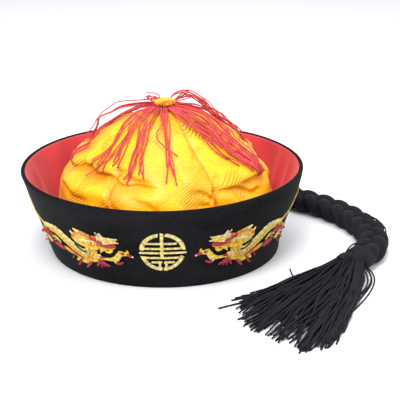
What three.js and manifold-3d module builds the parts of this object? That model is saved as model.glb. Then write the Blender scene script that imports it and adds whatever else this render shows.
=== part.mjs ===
// A court hat in the old Chinese style: a band of black velvet that is turned up round a soft
// crown of six yellow gores, with embroidery on the band, red threads under a gathered knob,
// and a plaited queue that lies on the table and ends in a tassel.
// Units are millimetres and +Z is up. The front faces -Y. The origin lies on the table, under
// the middle of the band's rim. An angle round the hat is 0 at the front and grows towards +X.
import * as THREE from "three";
import { mergeVertices } from "three/addons/utils/BufferGeometryUtils.js";
import Module from "manifold-3d";

const wasm = await Module();
wasm.setup();

const TURN = 2 * Math.PI;
const gap = 0.3; // clearance between neighbouring pieces

// Band: a wall that leans outwards from the hem, where it fits a head of about 58 cm
const headCentre = { x: 1.95, y: -0.35 }; // middle of the hem's ring
const hemHalfWidth = 97;
const hemHalfDepth = 95.5;
const bandHeight = 72;
const velvetWall = 2.6;
const liningWall = 1;
const liningGap = 0.45; // between the velvet and its lining
const rimWidth = 4; // the rolled edge covers the velvet and the lining
const hemLipReach = 6.5;
const hemLipHeight = 1.6;
const liningTop = 70.2;
const rimRoll = 1.3; // height of the rolled edge's rounding
const bandSegments = 44;
// Distance of the rim from the head's centre, in steps of 30 degrees from the front
const rimRows = [
  { angle: 0, radius: 118.8 },
  { angle: 30, radius: 115.4 },
  { angle: 60, radius: 114.3 },
  { angle: 90, radius: 116.6 },
  { angle: 120, radius: 117.6 },
  { angle: 150, radius: 119.2 },
  { angle: 180, radius: 119.5 },
  { angle: 210, radius: 121.6 },
  { angle: 240, radius: 121.4 },
  { angle: 270, radius: 120.7 },
  { angle: 300, radius: 120.8 },
  { angle: 330, radius: 119.8 },
];
// Places where the band bends inwards: how deep, and how far the bend spreads
const bandDents = [
  { angle: 92, height: 20, depth: 2.6, spreadAngle: 34, spreadHeight: 13 },
  { angle: 205, height: 34, depth: 1.6, spreadAngle: 40, spreadHeight: 20 },
];

// Crown: a dome of six gores whose side view differs a little from left to right
const goreCount = 6;
const goreWall = 1.5;
const goreColumns = 8;
const goreRows = 10;
const gorePuff = 3; // how far the middle of a gore stands out from its seams
const gathersPerGore = 2;
const gatherDepth = 1.3;
const gatherReach = 46; // radius below which the gathers show
const crownRows = [
  { height: 2.2, left: 92.4, right: 92.4 },
  { height: 18, left: 91.3, right: 91.6 },
  { height: 34, left: 89.8, right: 91.4 },
  { height: 48, left: 88.0, right: 89.6 },
  { height: 60, left: 86.8, right: 85.4 },
  { height: 70, left: 82.5, right: 81.5 },
  { height: 79, left: 72.0, right: 76.0 },
  { height: 89, left: 62.5, right: 66.0 },
  { height: 99, left: 51.5, right: 53.5 },
  { height: 108, left: 37.0, right: 39.5 },
  { height: 115, left: 21.5, right: 24.0 },
  { height: 119.5, left: 6.0, right: 6.0 },
];
// Creases that run across the gores, from one place on the cloth to another
const creases = [
  { fromAngle: -88, fromHeight: 74, toAngle: -12, toHeight: 79, depth: 4.0, width: 6 },
  { fromAngle: 58, fromHeight: 71, toAngle: 82, toHeight: 67, depth: 2.6, width: 6 },
  { fromAngle: 120, fromHeight: 76, toAngle: 170, toHeight: 72, depth: 3.0, width: 7 },
];

// Knob and threads on top
const knobRadius = 8.6;
const knobBase = 122;
const knobTop = 127.8;
const knobGathers = 9;
const threadHeadRadius = 8.4;
const threadHeadBase = 119.95;
const threadHeadTop = 121.5;
const threadStart = 119.3; // height on the crown where the threads leave the head
const threadLift = 1.7; // the threads lie this far off the cloth
// Locks of red thread: where each leaves the knob, where it ends on the crown, and its size
const threadLocks = [
  { topAngle: 48, endAngle: 64, endHeight: 73, width: 12, thickness: 2.6, loop: 0 },
  { topAngle: 66, endAngle: 74, endHeight: 71, width: 10, thickness: 2.6, loop: 0 },
  { topAngle: 100, endAngle: 108, endHeight: 92, width: 9, thickness: 2.4, loop: 3 },
  { topAngle: 140, endAngle: 128, endHeight: 97, width: 8, thickness: 2.2, loop: 4 },
  { topAngle: 178, endAngle: 172, endHeight: 95, width: 8, thickness: 2.2, loop: 0 },
  { topAngle: 212, endAngle: 226, endHeight: 95, width: 8, thickness: 2.2, loop: 3 },
  { topAngle: 250, endAngle: 258, endHeight: 84, width: 8, thickness: 2.2, loop: 3 },
  { topAngle: 288, endAngle: 300, endHeight: 80, width: 7, thickness: 2, loop: 0 },
  { topAngle: 318, endAngle: 318, endHeight: 80, width: 9, thickness: 2, loop: 0 },
  { topAngle: 342, endAngle: 342, endHeight: 79, width: 8, thickness: 2, loop: 0 },
  { topAngle: 4, endAngle: 6, endHeight: 77, width: 7, thickness: 2, loop: 0 },
];

// Embroidery: flat shapes laid on the band, u along the band and h up from the table
const embroideryRise = 0.8;
const embroideryGap = 0.8; // keeps the flat facets of the stitches off those of the band
const motifRadius = 106; // one radian round the band is this long at the motifs
const motifEdge = 15; // longest stretch of an edge round the curved band
const splitShare = 0.46;
const layerStep = 0.02;
const roundelHeight = 35.2;
const roundelRadius = 18.8;
const roundelRing = 3.4;
const roundelWidth = 0.94; // its width over its height
const roundelShift = 0.8; // it is sewn a little to the right of the middle
const roundelBar = 2.3;
const roundelPost = 2.9;

// Queue: the line of the plait on the table, from the back of the hem round the right side
const plaitHeight = 9.5;
const plaitLine = [
  { x: 2, y: 98.9 },
  { x: 7, y: 107 },
  { x: 16, y: 115.5 },
  { x: 29, y: 121.5 },
  { x: 45, y: 124 },
  { x: 63, y: 121.5 },
  { x: 81, y: 114.5 },
  { x: 98, y: 104 },
  { x: 112, y: 93 },
  { x: 124, y: 82 },
  { x: 135.5, y: 72.5 },
  { x: 146.5, y: 61.5 },
  { x: 156, y: 49 },
  { x: 164.5, y: 35 },
  { x: 171, y: 20 },
  { x: 175.5, y: 4.5 },
  { x: 177.5, y: -11 },
  { x: 176.5, y: -26 },
  { x: 172, y: -40.5 },
  { x: 164.5, y: -53.5 },
  { x: 155.5, y: -64.5 },
];
const plaitPeriod = 50;
const plaitSway = 8; // sideways swing of a strand
const plaitLoft = 6; // up and down swing of a strand
const strandRadius = 3.1;
const strandSides = 6;
const stepsPerPeriod = 10;
const rootWrap = { length: 19, halfWidth: 13, halfHeight: 9.4 };
const tieWrap = { length: 13, overlap: 9, halfWidth: 13, halfHeight: 9.3 };
const tassel = { neckLength: 9, halfWidth: 11, halfHeight: 7, floor: 0.4 };
// Locks of the tassel: the side of the neck each starts from, its tip, its sideways bow, its size
const tasselLocks = [
  { side: 1, tipX: 56, tipY: -121, bow: 2, width: 10, height: 5, lift: 0 },
  { side: 0.85, tipX: 47, tipY: -134, bow: 2, width: 8, height: 5, lift: 0 },
  { side: 0.7, tipX: 59, tipY: -143, bow: 2, width: 11, height: 6, lift: 0 },
  { side: 0.5, tipX: 65, tipY: -157, bow: 2, width: 12, height: 7, lift: 0 },
  { side: 0.3, tipX: 74, tipY: -171, bow: 0, width: 12, height: 7, lift: 0 },
  { side: 0.1, tipX: 84, tipY: -184, bow: -2, width: 12, height: 7, lift: 0 },
  { side: -0.1, tipX: 95, tipY: -196, bow: -4, width: 12, height: 7, lift: 0 },
  { side: -0.3, tipX: 106, tipY: -203, bow: -7, width: 12, height: 7, lift: 0 },
  { side: -0.55, tipX: 118, tipY: -196, bow: -10, width: 12, height: 7, lift: 0 },
  { side: -0.8, tipX: 128, tipY: -186, bow: -13, width: 11, height: 6, lift: 0 },
  { side: -1, tipX: 134, tipY: -160, bow: -13, width: 9, height: 5, lift: 0 },
  { side: 0.5, tipX: 84, tipY: -137, bow: 0, width: 15, height: 6, lift: 5 },
  { side: 0, tipX: 100, tipY: -165, bow: -3, width: 16, height: 6, lift: 6 },
  { side: -0.5, tipX: 122, tipY: -160, bow: -8, width: 15, height: 6, lift: 5 },
];

const velvet = { color: 0x18181a, roughness: 0.95, metalness: 0 };
const redCloth = { color: 0xd03c44, roughness: 0.8, metalness: 0 };
const yellowSatin = { color: 0xf2b71c, roughness: 0.42, metalness: 0 };
const redThread = { color: 0xd63f52, roughness: 0.6, metalness: 0 };
const goldThread = { color: 0xe6c65a, roughness: 0.45, metalness: 0 };
const orangeGold = { color: 0xe2a92e, roughness: 0.45, metalness: 0 };
const blackCord = { color: 0x1b1c22, roughness: 0.7, metalness: 0 };

const hat = new THREE.Group();

// Adds one piece of the hat: a closed geometry, its name and its finish.
function addPiece(name, geometry, finish) {
  const mesh = new THREE.Mesh(geometry, new THREE.MeshStandardMaterial(finish));
  mesh.name = name;
  hat.add(mesh);
}

function degrees(value) {
  return (value * Math.PI) / 180;
}

// Runs a section with several points along a path: rings[i] is the i-th copy of the section.
// A closed path joins the last ring to the first, and an open one gets a fan at each end.
function skin(rings, closedPath) {
  const sides = rings[0].length;
  const points = rings.flat();
  const faces = [];
  const ringTotal = rings.length;
  const spans = closedPath ? ringTotal : ringTotal - 1;
  for (let i = 0; i < spans; i++) {
    const here = i * sides;
    const next = ((i + 1) % ringTotal) * sides;
    for (let j = 0; j < sides; j++) {
      const k = (j + 1) % sides;
      faces.push(here + j, here + k, next + k, here + j, next + k, next + j);
    }
  }
  if (!closedPath) {
    capEnd(points, faces, 0, sides, true);
    capEnd(points, faces, (ringTotal - 1) * sides, sides, false);
  }
  return meshOf(points, faces);
}

// Closes one end of a skin with a fan round the middle of its ring.
function capEnd(points, faces, first, sides, atStart) {
  const middle = new THREE.Vector3();
  for (let j = 0; j < sides; j++) middle.add(points[first + j]);
  points.push(middle.divideScalar(sides));
  for (let j = 0; j < sides; j++) {
    const a = first + j;
    const b = first + ((j + 1) % sides);
    faces.push(points.length - 1, atStart ? b : a, atStart ? a : b);
  }
}

function meshOf(points, faces) {
  const geometry = new THREE.BufferGeometry().setFromPoints(points);
  geometry.setIndex(faces);
  return facingOut(geometry);
}

// Turns all faces of a closed geometry round if its volume comes out negative.
function facingOut(geometry) {
  const place = geometry.attributes.position;
  const index = geometry.index;
  const [a, b, c] = [new THREE.Vector3(), new THREE.Vector3(), new THREE.Vector3()];
  let volume = 0;
  for (let i = 0; i < index.count; i += 3) {
    a.fromBufferAttribute(place, index.getX(i));
    b.fromBufferAttribute(place, index.getX(i + 1));
    c.fromBufferAttribute(place, index.getX(i + 2));
    volume += a.dot(b.cross(c));
  }
  if (volume < 0) {
    for (let i = 0; i < index.count; i += 3) {
      const second = index.getX(i + 1);
      index.setX(i + 1, index.getX(i + 2));
      index.setX(i + 2, second);
    }
  }
  geometry.computeVertexNormals();
  return geometry;
}

// A geometry as a solid that can be joined and cut, and back again.
function solidOf(geometry) {
  const bare = new THREE.BufferGeometry();
  bare.setAttribute("position", geometry.attributes.position);
  bare.setIndex(geometry.index);
  const merged = facingOut(mergeVertices(bare, 1e-4));
  const mesh = new wasm.Mesh({
    numProp: 3,
    vertProperties: new Float32Array(merged.attributes.position.array),
    triVerts: new Uint32Array(merged.index.array),
  });
  return new wasm.Manifold(mesh);
}

function geometryOf(solid) {
  const mesh = solid.getMesh();
  const geometry = new THREE.BufferGeometry();
  geometry.setAttribute("position", new THREE.BufferAttribute(mesh.vertProperties, 3));
  geometry.setIndex(new THREE.BufferAttribute(mesh.triVerts, 1));
  geometry.computeVertexNormals();
  return geometry;
}

function joined(solids) {
  return solids.reduce((whole, solid) => whole.add(solid));
}

// Smooth closed curve through evenly spaced rows: the sum of a few waves round the ring.
function ringValue(rows, angle) {
  const count = rows.length;
  let sum = 0;
  rows.forEach((row, i) => {
    const away = angle - (TURN * i) / count;
    let weight = 1 + Math.cos((count / 2) * away);
    for (let wave = 1; wave < count / 2; wave++) weight += 2 * Math.cos(wave * away);
    sum += (row.radius * weight) / count;
  });
  return sum;
}

// Angle from one direction to another, between minus and plus half a turn.
function turnBetween(from, to) {
  return Math.atan2(Math.sin(to - from), Math.cos(to - from));
}

// The head's oval: its radius in a direction, as a share of its half width.
function ovalShare(angle) {
  return hemHalfDepth / Math.hypot(hemHalfDepth * Math.sin(angle), hemHalfWidth * Math.cos(angle));
}

// Distance of the band's outer face from the head's centre.
function bandRadius(angle, height) {
  const hem = hemHalfWidth * ovalShare(angle);
  const share = height / bandHeight;
  let radius = hem + (ringValue(rimRows, angle) - hem) * share;
  for (const dent of bandDents) {
    const across = turnBetween(degrees(dent.angle), angle) / degrees(dent.spreadAngle);
    const up = (height - dent.height) / dent.spreadHeight;
    const held = Math.sin(Math.PI * Math.min(Math.max(share, 0), 1));
    radius -= dent.depth * held * Math.exp(-across * across - up * up);
  }
  return radius;
}

// A point of the hat, by its angle round the head's centre, distance from it and height.
function placeAt(angle, radius, height) {
  return new THREE.Vector3(
    headCentre.x + radius * Math.sin(angle),
    headCentre.y - radius * Math.cos(angle),
    height,
  );
}

// A ring of cloth or velvet whose section is a list of insets from the band's face and heights.
function bandRing(section) {
  const rings = [];
  for (let i = 0; i < bandSegments; i++) {
    const angle = (TURN * i) / bandSegments;
    rings.push(section.map((row) => placeAt(angle, bandRadius(angle, row.height) - row.inset, row.height)));
  }
  return skin(rings, true);
}

// The velvet band: outer face, rolled rim, inner face and the lip that is turned in at the hem.
function velvetBand() {
  return bandRing([
    { inset: 0, height: 0 },
    { inset: 0, height: 18 },
    { inset: 0, height: 40 },
    { inset: 0, height: bandHeight - rimRoll },
    { inset: 0.3 * rimWidth, height: bandHeight },
    { inset: 0.75 * rimWidth, height: bandHeight },
    { inset: rimWidth, height: bandHeight - rimRoll },
    { inset: rimWidth, height: liningTop + gap },
    { inset: velvetWall, height: liningTop + gap },
    { inset: velvetWall, height: 40 },
    { inset: velvetWall, height: 18 },
    { inset: velvetWall, height: hemLipHeight },
    { inset: hemLipReach, height: hemLipHeight },
    { inset: hemLipReach, height: 0 },
  ]);
}

function lining() {
  const outer = velvetWall + liningGap;
  const inner = outer + liningWall;
  const foot = hemLipHeight + gap;
  return bandRing([
    { inset: outer, height: foot },
    { inset: outer, height: 18 },
    { inset: outer, height: 40 },
    { inset: outer, height: liningTop },
    { inset: inner, height: liningTop },
    { inset: inner, height: 40 },
    { inset: inner, height: 18 },
    { inset: inner, height: foot },
  ]);
}

// Side view of the crown, from the hem at 0 to the top at 1: x and y hold the left and right
// radius and z holds the height.
const crownSide = new THREE.CatmullRomCurve3(
  crownRows.map((row) => new THREE.Vector3(row.left, row.right, row.height)),
  false,
  "catmullrom",
  0.5,
);

// Share of a crease's depth at a place on the cloth: full on its line and fading to both sides.
function creaseShare(crease, angle, height, radius) {
  const lineAngle = degrees(crease.toAngle - crease.fromAngle);
  const along = turnBetween(degrees(crease.fromAngle), angle) / lineAngle;
  const reach = Math.min(Math.max(along, 0), 1);
  const past = (along - reach) * lineAngle * radius;
  const line = crease.fromHeight + (crease.toHeight - crease.fromHeight) * reach;
  const away = Math.hypot(past / 2, height - line) / crease.width;
  return Math.exp(-away * away);
}

// A point on the outer face of the crown: the side view, plus the puff of each gore, the
// gathers under the knob and the creases.
function crownPoint(angle, share) {
  const side = crownSide.getPoint(share);
  const right = (1 + Math.sin(angle)) / 2;
  let radius = (side.x + (side.y - side.x) * right) * ovalShare(angle);
  const goreTurn = TURN / goreCount;
  const acrossGore = angle / goreTurn - Math.round(angle / goreTurn);
  const puffShare = Math.sin(Math.PI * share) ** 0.8;
  const gathered = 1 - THREE.MathUtils.smoothstep(radius, 12, gatherReach);
  radius += gorePuff * puffShare * (1 - Math.abs(2 * acrossGore) ** 2.2) * (1 - 0.6 * gathered);
  const topFade = THREE.MathUtils.smoothstep(radius, 6, 16);
  radius += gatherDepth * gathered * topFade * Math.cos(goreCount * gathersPerGore * angle);
  for (const crease of creases) {
    radius -= crease.depth * creaseShare(crease, angle, side.z, radius);
  }
  return placeAt(angle, radius, side.z);
}

// Direction out of the cloth at a point of the crown.
function crownNormal(angle, share) {
  const step = 0.004;
  const alongRing = crownPoint(angle + step, share).sub(crownPoint(angle - step, share));
  const upwards = crownPoint(angle, Math.min(share + step, 1));
  upwards.sub(crownPoint(angle, Math.max(share - step, 0)));
  return alongRing.cross(upwards).normalize();
}

// One gore: the crown between two seams as a wall of even thickness.
function gore(number) {
  const goreTurn = TURN / goreCount;
  const middle = number * goreTurn;
  const rings = [];
  for (let i = 0; i <= goreRows; i++) {
    const share = i / goreRows;
    const radius = crownSide.getPoint(share).x;
    const halfTurn = goreTurn / 2 - gap / 2 / radius;
    const outer = [];
    const inner = [];
    for (let j = 0; j <= goreColumns; j++) {
      const angle = middle + halfTurn * ((2 * j) / goreColumns - 1);
      const point = crownPoint(angle, share);
      const normal = crownNormal(angle, share);
      outer.push(point);
      inner.push(point.clone().addScaledVector(normal, -goreWall));
    }
    rings.push({ outer, inner });
  }
  return goreSkin(rings);
}

// Closes a wall between its outer and inner grids of points.
function goreSkin(rings) {
  const width = goreColumns + 1;
  const points = rings.flatMap((ring) => [...ring.outer, ...ring.inner]);
  const at = (row, column, inside) => row * 2 * width + (inside ? width : 0) + column;
  const faces = [];
  const quad = (a, b, c, d) => faces.push(a, b, c, a, c, d);
  const last = rings.length - 1;
  for (let i = 0; i < last; i++) {
    for (let j = 0; j < goreColumns; j++) {
      quad(at(i, j, false), at(i, j + 1, false), at(i + 1, j + 1, false), at(i + 1, j, false));
      quad(at(i, j, true), at(i + 1, j, true), at(i + 1, j + 1, true), at(i, j + 1, true));
    }
    quad(at(i, 0, false), at(i + 1, 0, false), at(i + 1, 0, true), at(i, 0, true));
    const end = goreColumns;
    quad(at(i, end, false), at(i, end, true), at(i + 1, end, true), at(i + 1, end, false));
  }
  for (let j = 0; j < goreColumns; j++) {
    quad(at(0, j, false), at(0, j, true), at(0, j + 1, true), at(0, j + 1, false));
    quad(at(last, j, false), at(last, j + 1, false), at(last, j + 1, true), at(last, j, true));
  }
  return meshOf(points, faces);
}

// The gathered knob: a low dome whose edge is pleated.
function knob() {
  const height = knobTop - knobBase;
  const profile = [
    [0, 0],
    [0.7, 0],
    [0.97, 0.2],
    [1, 0.45],
    [0.86, 0.78],
    [0.5, 0.96],
    [0, 1],
  ].map(([out, up]) => new THREE.Vector2(out * knobRadius, knobBase + up * height));
  const geometry = new THREE.LatheGeometry(profile, 2 * knobGathers).rotateX(Math.PI / 2);
  const place = geometry.attributes.position;
  for (let i = 0; i < place.count; i++) {
    const angle = Math.atan2(place.getY(i), place.getX(i));
    const pleat = 1 + 0.05 * Math.cos(knobGathers * angle);
    place.setX(i, headCentre.x + place.getX(i) * pleat);
    place.setY(i, headCentre.y + place.getY(i) * pleat);
  }
  return geometryOf(solidOf(geometry));
}

// One lock of red thread: a flat bundle that lies on the crown, wider at its loose end.
function threadLock(lock) {
  const stations = 4;
  const startShare = shareAtHeight(threadStart);
  const endShare = shareAtHeight(lock.endHeight);
  const rings = [];
  for (let i = 0; i <= stations; i++) {
    const along = i / stations;
    const eased = along ** 0.8;
    const angle = degrees(lock.topAngle + (lock.endAngle - lock.topAngle) * eased);
    const share = startShare + (endShare - startShare) * along;
    const normal = crownNormal(angle, share);
    const spread = 0.45 + 0.55 * Math.min(along * 1.6, 1);
    const halfWidth = (lock.width / 2) * spread;
    const halfThick = (lock.thickness / 2) * (0.5 + Math.min(along * 2, 0.5) - 0.4 * along);
    const settled = threadLift * Math.min(0.3 + along * 3, 1);
    const raised = settled + halfThick + lock.loop * Math.sin(Math.PI * along);
    const centre = crownPoint(angle, share).addScaledVector(normal, raised);
    const ahead = crownPoint(angle, Math.max(share - 0.02, 0)).sub(crownPoint(angle, share));
    const aside = new THREE.Vector3().crossVectors(normal, ahead).normalize();
    rings.push(flatSection(centre, aside, normal, halfWidth, halfThick));
  }
  return solidOf(skin(rings, false));
}

// A six-sided flat section: two long faces and two blunt edges.
function flatSection(centre, aside, up, halfWidth, halfThick) {
  const corners = [
    [-1, 0],
    [-0.6, -1],
    [0.6, -1],
    [1, 0],
    [0.6, 1],
    [-0.6, 1],
  ];
  return corners.map(([side, rise]) =>
    centre
      .clone()
      .addScaledVector(aside, side * halfWidth)
      .addScaledVector(up, rise * halfThick),
  );
}

// Place on the crown's side view that has a given height, found by halving.
function shareAtHeight(height) {
  let low = 0;
  let high = 1;
  for (let i = 0; i < 30; i++) {
    const middle = (low + high) / 2;
    if (crownSide.getPoint(middle).z < height) low = middle;
    else high = middle;
  }
  return (low + high) / 2;
}

function crownThreads() {
  const profile = [
    [0, threadHeadBase],
    [threadHeadRadius, threadHeadBase],
    [threadHeadRadius, threadHeadTop - 0.5],
    [threadHeadRadius - 1.5, threadHeadTop],
    [0, threadHeadTop],
  ].map(([out, up]) => new THREE.Vector2(out, up));
  const head = new THREE.LatheGeometry(profile, 12).rotateX(Math.PI / 2);
  head.translate(headCentre.x, headCentre.y, 0);
  return geometryOf(joined([solidOf(head), ...threadLocks.map(threadLock)]));
}

// An outline of a stroke of stitches that follows rows of u, h and width.
function strokeShape(rows, steps) {
  const line = new THREE.CatmullRomCurve3(rows.map((row) => new THREE.Vector3(row[0], row[1], row[2])));
  const left = [];
  const right = [];
  for (let i = 0; i <= steps; i++) {
    const point = line.getPoint(i / steps);
    const before = line.getPoint(Math.max(i - 0.5, 0) / steps);
    const after = line.getPoint(Math.min(i + 0.5, steps) / steps);
    const along = new THREE.Vector2(after.x - before.x, after.y - before.y).normalize();
    const half = Math.max(point.z, 0.8) / 2;
    left.push(new THREE.Vector2(point.x - along.y * half, point.y + along.x * half));
    right.unshift(new THREE.Vector2(point.x + along.y * half, point.y - along.x * half));
  }
  return new THREE.Shape([...left, ...right]);
}

// A flat shape as a thin solid. A layer lies a hair lower and stands a little higher than the
// layer before it, so that crossing strokes never share a face.
function stitched(shape, layer = 0, curveSegments = 12) {
  const depth = embroideryRise + 4 * layerStep * layer;
  const geometry = new THREE.ExtrudeGeometry(shape, { depth, bevelEnabled: false, curveSegments });
  return solidOf(geometry.translate(0, 0, -layerStep * layer));
}

// A straight bar of the roundel, by its two ends and its width.
function bar(fromU, fromV, toU, toV, width, layer) {
  return stitched(strokeShape([[fromU, fromV, width], [toU, toV, width]], 1), layer);
}

// A part of the roundel's ring, from one direction to another in degrees from +u.
function ringArc(fromAngle, toAngle) {
  const shape = new THREE.Shape();
  const from = degrees(fromAngle);
  const to = degrees(toAngle);
  const inner = roundelRadius - roundelRing;
  shape.absellipse(0, 0, roundelWidth * roundelRadius, roundelRadius, from, to, false);
  shape.absellipse(0, 0, roundelWidth * inner, inner, to, from, true);
  return stitched(shape, 0, 4);
}

// The roundel: a broken ring round a post, four cross bars and two hooks.
function roundelFlat() {
  return joined([
    ringArc(8, 82),
    ringArc(102, 172),
    ringArc(195, 268),
    ringArc(273, 345),
    bar(-0.4, -5, -0.4, 18.8, roundelPost, 2),
    bar(-12, 8.3, 10, 8.3, roundelBar, 1),
    bar(-16, 3.4, 15.6, 3.4, roundelBar, 1),
    bar(-17.6, -0.8, 17.6, -0.8, roundelBar, 1),
    bar(-15.6, -5.6, 15.6, -5.6, roundelBar, 1),
    bar(-8.4, -10, -0.8, -10, roundelBar, 1),
    bar(1.4, -10, 8.8, -10, roundelBar, 1),
    bar(-2.2, -9, -2.2, -17.4, roundelPost, 2),
    bar(2.9, -9, 2.9, -17.4, roundelPost, 2),
  ]);
}

// The dragon's strokes, each a list of [u, h, width] from one end to the other.
const dragonStrokes = {
  tail: [[107, 37.2, 5], [114, 38.6, 3], [128, 42, 1.8], [136, 46, 1.6], [147, 56, 1.4]],
  redCoil: [[98, 34, 1.6], [102, 34, 3.4], [108, 33, 4], [116, 31, 3.2], [126, 27.2, 2]],
  hindLeg: [[92.4, 26.8, 2.4], [96, 30, 3], [102, 29.8, 2.6], [109, 25.4, 2.6], [123, 25, 2]],
  hindPaw: [[86.8, 25.4, 3], [90.4, 25.2, 4.6], [94.6, 25.4, 4], [99.4, 26.2, 1.8]],
  lowLeg: [[69, 20, 4], [75, 21.8, 4], [86, 23.8, 3.5], [89, 24.4, 2]],
  body: [[48.5, 26, 5], [53, 25.2, 9], [59, 24.4, 11], [66, 24.6, 10.5], [72, 27.2, 9.5],
    [78, 30.6, 9.5], [84, 34, 9.5], [90, 37.6, 9], [96, 39, 8], [106, 38.2, 7], [111, 37.2, 5]],
  throat: [[62, 34, 9], [54, 27, 8]],
  bellyFoot: [[62, 20, 3.4], [65.5, 17.6, 4], [69.5, 17.4, 3]],
  bellyClaw: [[59.6, 19.4, 2], [62, 16.8, 2.4], [65.6, 13.4, 1]],
  lowClaw: [[70, 18.6, 1.8], [72, 15.8, 2], [75, 13.2, 1]],
  chestFlames: [[51, 23.5, 5], [47.5, 19.6, 7], [46, 18, 7]],
  foreleg: [[49.5, 24.9, 2], [44, 24.9, 2.4], [40, 25.2, 3.4], [36.6, 26, 5.4], [34.4, 28.6, 5],
    [32.6, 31.6, 4.6], [31.6, 34.2, 3]],
  elbow: [[37.5, 25, 3.6], [35, 22.7, 2.2], [31, 24.2, 1.2]],
  paw: [[32.5, 31.4, 4.4], [28.6, 32.2, 4.2], [23, 31, 2.2]],
  highHorn: [[60, 45.6, 2.6], [65, 46.2, 2.8], [69.4, 47.6, 1.6]],
  lowHorn: [[63, 43.6, 3], [68, 43.2, 2.6], [73.2, 44, 1.4]],
  chinCurl: [[39, 36.8, 2.8], [38.8, 33.9, 2.8], [41.4, 31.9, 2.6], [44, 33.2, 2.4], [43.6, 35.6, 2]],
  beard: [[44.5, 36, 3.4], [46.8, 33, 3], [48.4, 30.8, 1.3]],
  jaw: [[34.8, 38.2, 3], [40, 36.8, 4.6], [46, 36.6, 4.6], [58, 34, 7]],
  head: [[71, 36.6, 7], [68.5, 37.8, 12.5], [64, 39.2, 15.5], [58, 39.6, 15.5], [53, 40.6, 11.5],
    [48, 41.6, 8], [42, 42.6, 6], [34, 43.4, 3]],
  noseHorn: [[44, 44, 3], [46.6, 48.6, 1.6]],
};
const rightShift = { along: 4.2, up: 0.8 }; // the right dragon sits further round and higher

function dragonFlat() {
  const strokes = Object.values(dragonStrokes);
  return joined(strokes.map((rows, layer) => stitched(strokeShape(rows, rows.length - 1), layer / 4)));
}

// Splits every edge that goes further along x than the limit, until none is left. The split is
// a little off the middle, so that it never falls on a corner of a symmetric shape.
function splitLongEdges(geometry, limit) {
  const points = [];
  const place = geometry.attributes.position;
  for (let i = 0; i < place.count; i++) points.push(new THREE.Vector3().fromBufferAttribute(place, i));
  let faces = [...geometry.index.array];
  const halves = new Map();
  const stretch = (a, b) => Math.abs(points[a].x - points[b].x);
  const halfOf = (a, b) => {
    if (stretch(a, b) <= limit) return -1;
    const key = Math.min(a, b) + " " + Math.max(a, b);
    if (!halves.has(key)) {
      points.push(points[Math.min(a, b)].clone().lerp(points[Math.max(a, b)], splitShare));
      halves.set(key, points.length - 1);
    }
    return halves.get(key);
  };
  let split = true;
  while (split) {
    split = false;
    const next = [];
    for (let i = 0; i < faces.length; i += 3) {
      let [a, b, c] = faces.slice(i, i + 3);
      const lengths = [[a, b, c], [b, c, a], [c, a, b]].map(([p, q]) => stretch(p, q));
      const longest = lengths.indexOf(Math.max(...lengths));
      if (longest === 1) [a, b, c] = [b, c, a];
      if (longest === 2) [a, b, c] = [c, a, b];
      const half = halfOf(a, b);
      if (half < 0) {
        next.push(a, b, c);
      } else {
        next.push(a, half, c, half, b, c);
        split = true;
      }
    }
    faces = next;
  }
  return { points, faces };
}

// Lays a flat motif on the band: its u goes round the band, its h up the band, its depth outwards.
function onBand(flat, side, heightOf, along = 0) {
  const { points, faces } = splitLongEdges(geometryOf(flat), motifEdge);
  const laid = points.map((point) => {
    const angle = (side * (point.x + along)) / motifRadius;
    const height = heightOf(point.y);
    return placeAt(angle, bandRadius(angle, height) + embroideryGap + point.z, height);
  });
  return meshOf(laid, faces);
}

// The line of the plait, as a curve along the table.
const queueLine = new THREE.CatmullRomCurve3(
  plaitLine.map((row) => new THREE.Vector3(row.x, row.y, plaitHeight)),
);
const queueLength = queueLine.getLength();
const UP = new THREE.Vector3(0, 0, 1);

// Place and directions at a distance along the queue; past its end it goes straight on.
function queueFrame(distance) {
  const share = Math.min(Math.max(distance / queueLength, 0), 1);
  const ahead = queueLine.getTangentAt(share);
  const past = distance - share * queueLength;
  const centre = queueLine.getPointAt(share).addScaledVector(ahead, past);
  const aside = new THREE.Vector3().crossVectors(UP, ahead).normalize();
  return { centre, ahead, aside };
}

const strandStart = 10; // the strands begin inside the wrap at the hem
const strandSteps = Math.floor((stepsPerPeriod * (queueLength - strandStart)) / plaitPeriod);
const strandPeriods = strandSteps / stepsPerPeriod;
const strandEnd = strandStart + strandPeriods * plaitPeriod;
const tieStart = strandEnd - tieWrap.overlap;

// One strand of the plait: it swings from side to side once in each period, and up and down twice.
class StrandLine extends THREE.Curve {
  constructor(number) {
    super();
    this.phase = (TURN * number) / 3;
  }
  getPoint(share, target = new THREE.Vector3()) {
    const along = share * strandPeriods * plaitPeriod;
    const { centre, aside } = queueFrame(strandStart + along);
    const swing = this.phase + (TURN * along) / plaitPeriod;
    target.copy(centre).addScaledVector(aside, plaitSway * Math.sin(swing));
    return target.addScaledVector(UP, plaitLoft * Math.sin(2 * swing));
  }
  // Steps go evenly along the queue, so that the strands cross at their corners.
  getUtoTmapping(share) {
    return share;
  }
}

// One strand, cut off square where it meets the wrap at the hem and the tie.
function strand(number) {
  const section = new THREE.Shape();
  section.absarc(0, 0, strandRadius, 0, TURN, false);
  const cord = new THREE.ExtrudeGeometry(section, {
    steps: strandSteps,
    curveSegments: strandSides / 2,
    bevelEnabled: false,
    extrudePath: new StrandLine(number),
  });
  const atRoot = strandCutter(strandStart - 2 * strandRadius, rootWrap.length + gap);
  const atTie = strandCutter(tieStart - gap, strandEnd + 2 * strandRadius);
  return geometryOf(solidOf(cord).subtract(atRoot).subtract(atTie));
}

// A block round the whole plait, from one distance along the queue to another.
function strandCutter(from, to) {
  const halfWidth = plaitSway + 3 * strandRadius;
  const halfHeight = plaitLoft + 3 * strandRadius;
  return ovalSleeve([from, to].map((distance) => ({ distance, halfWidth, halfHeight })));
}

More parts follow.
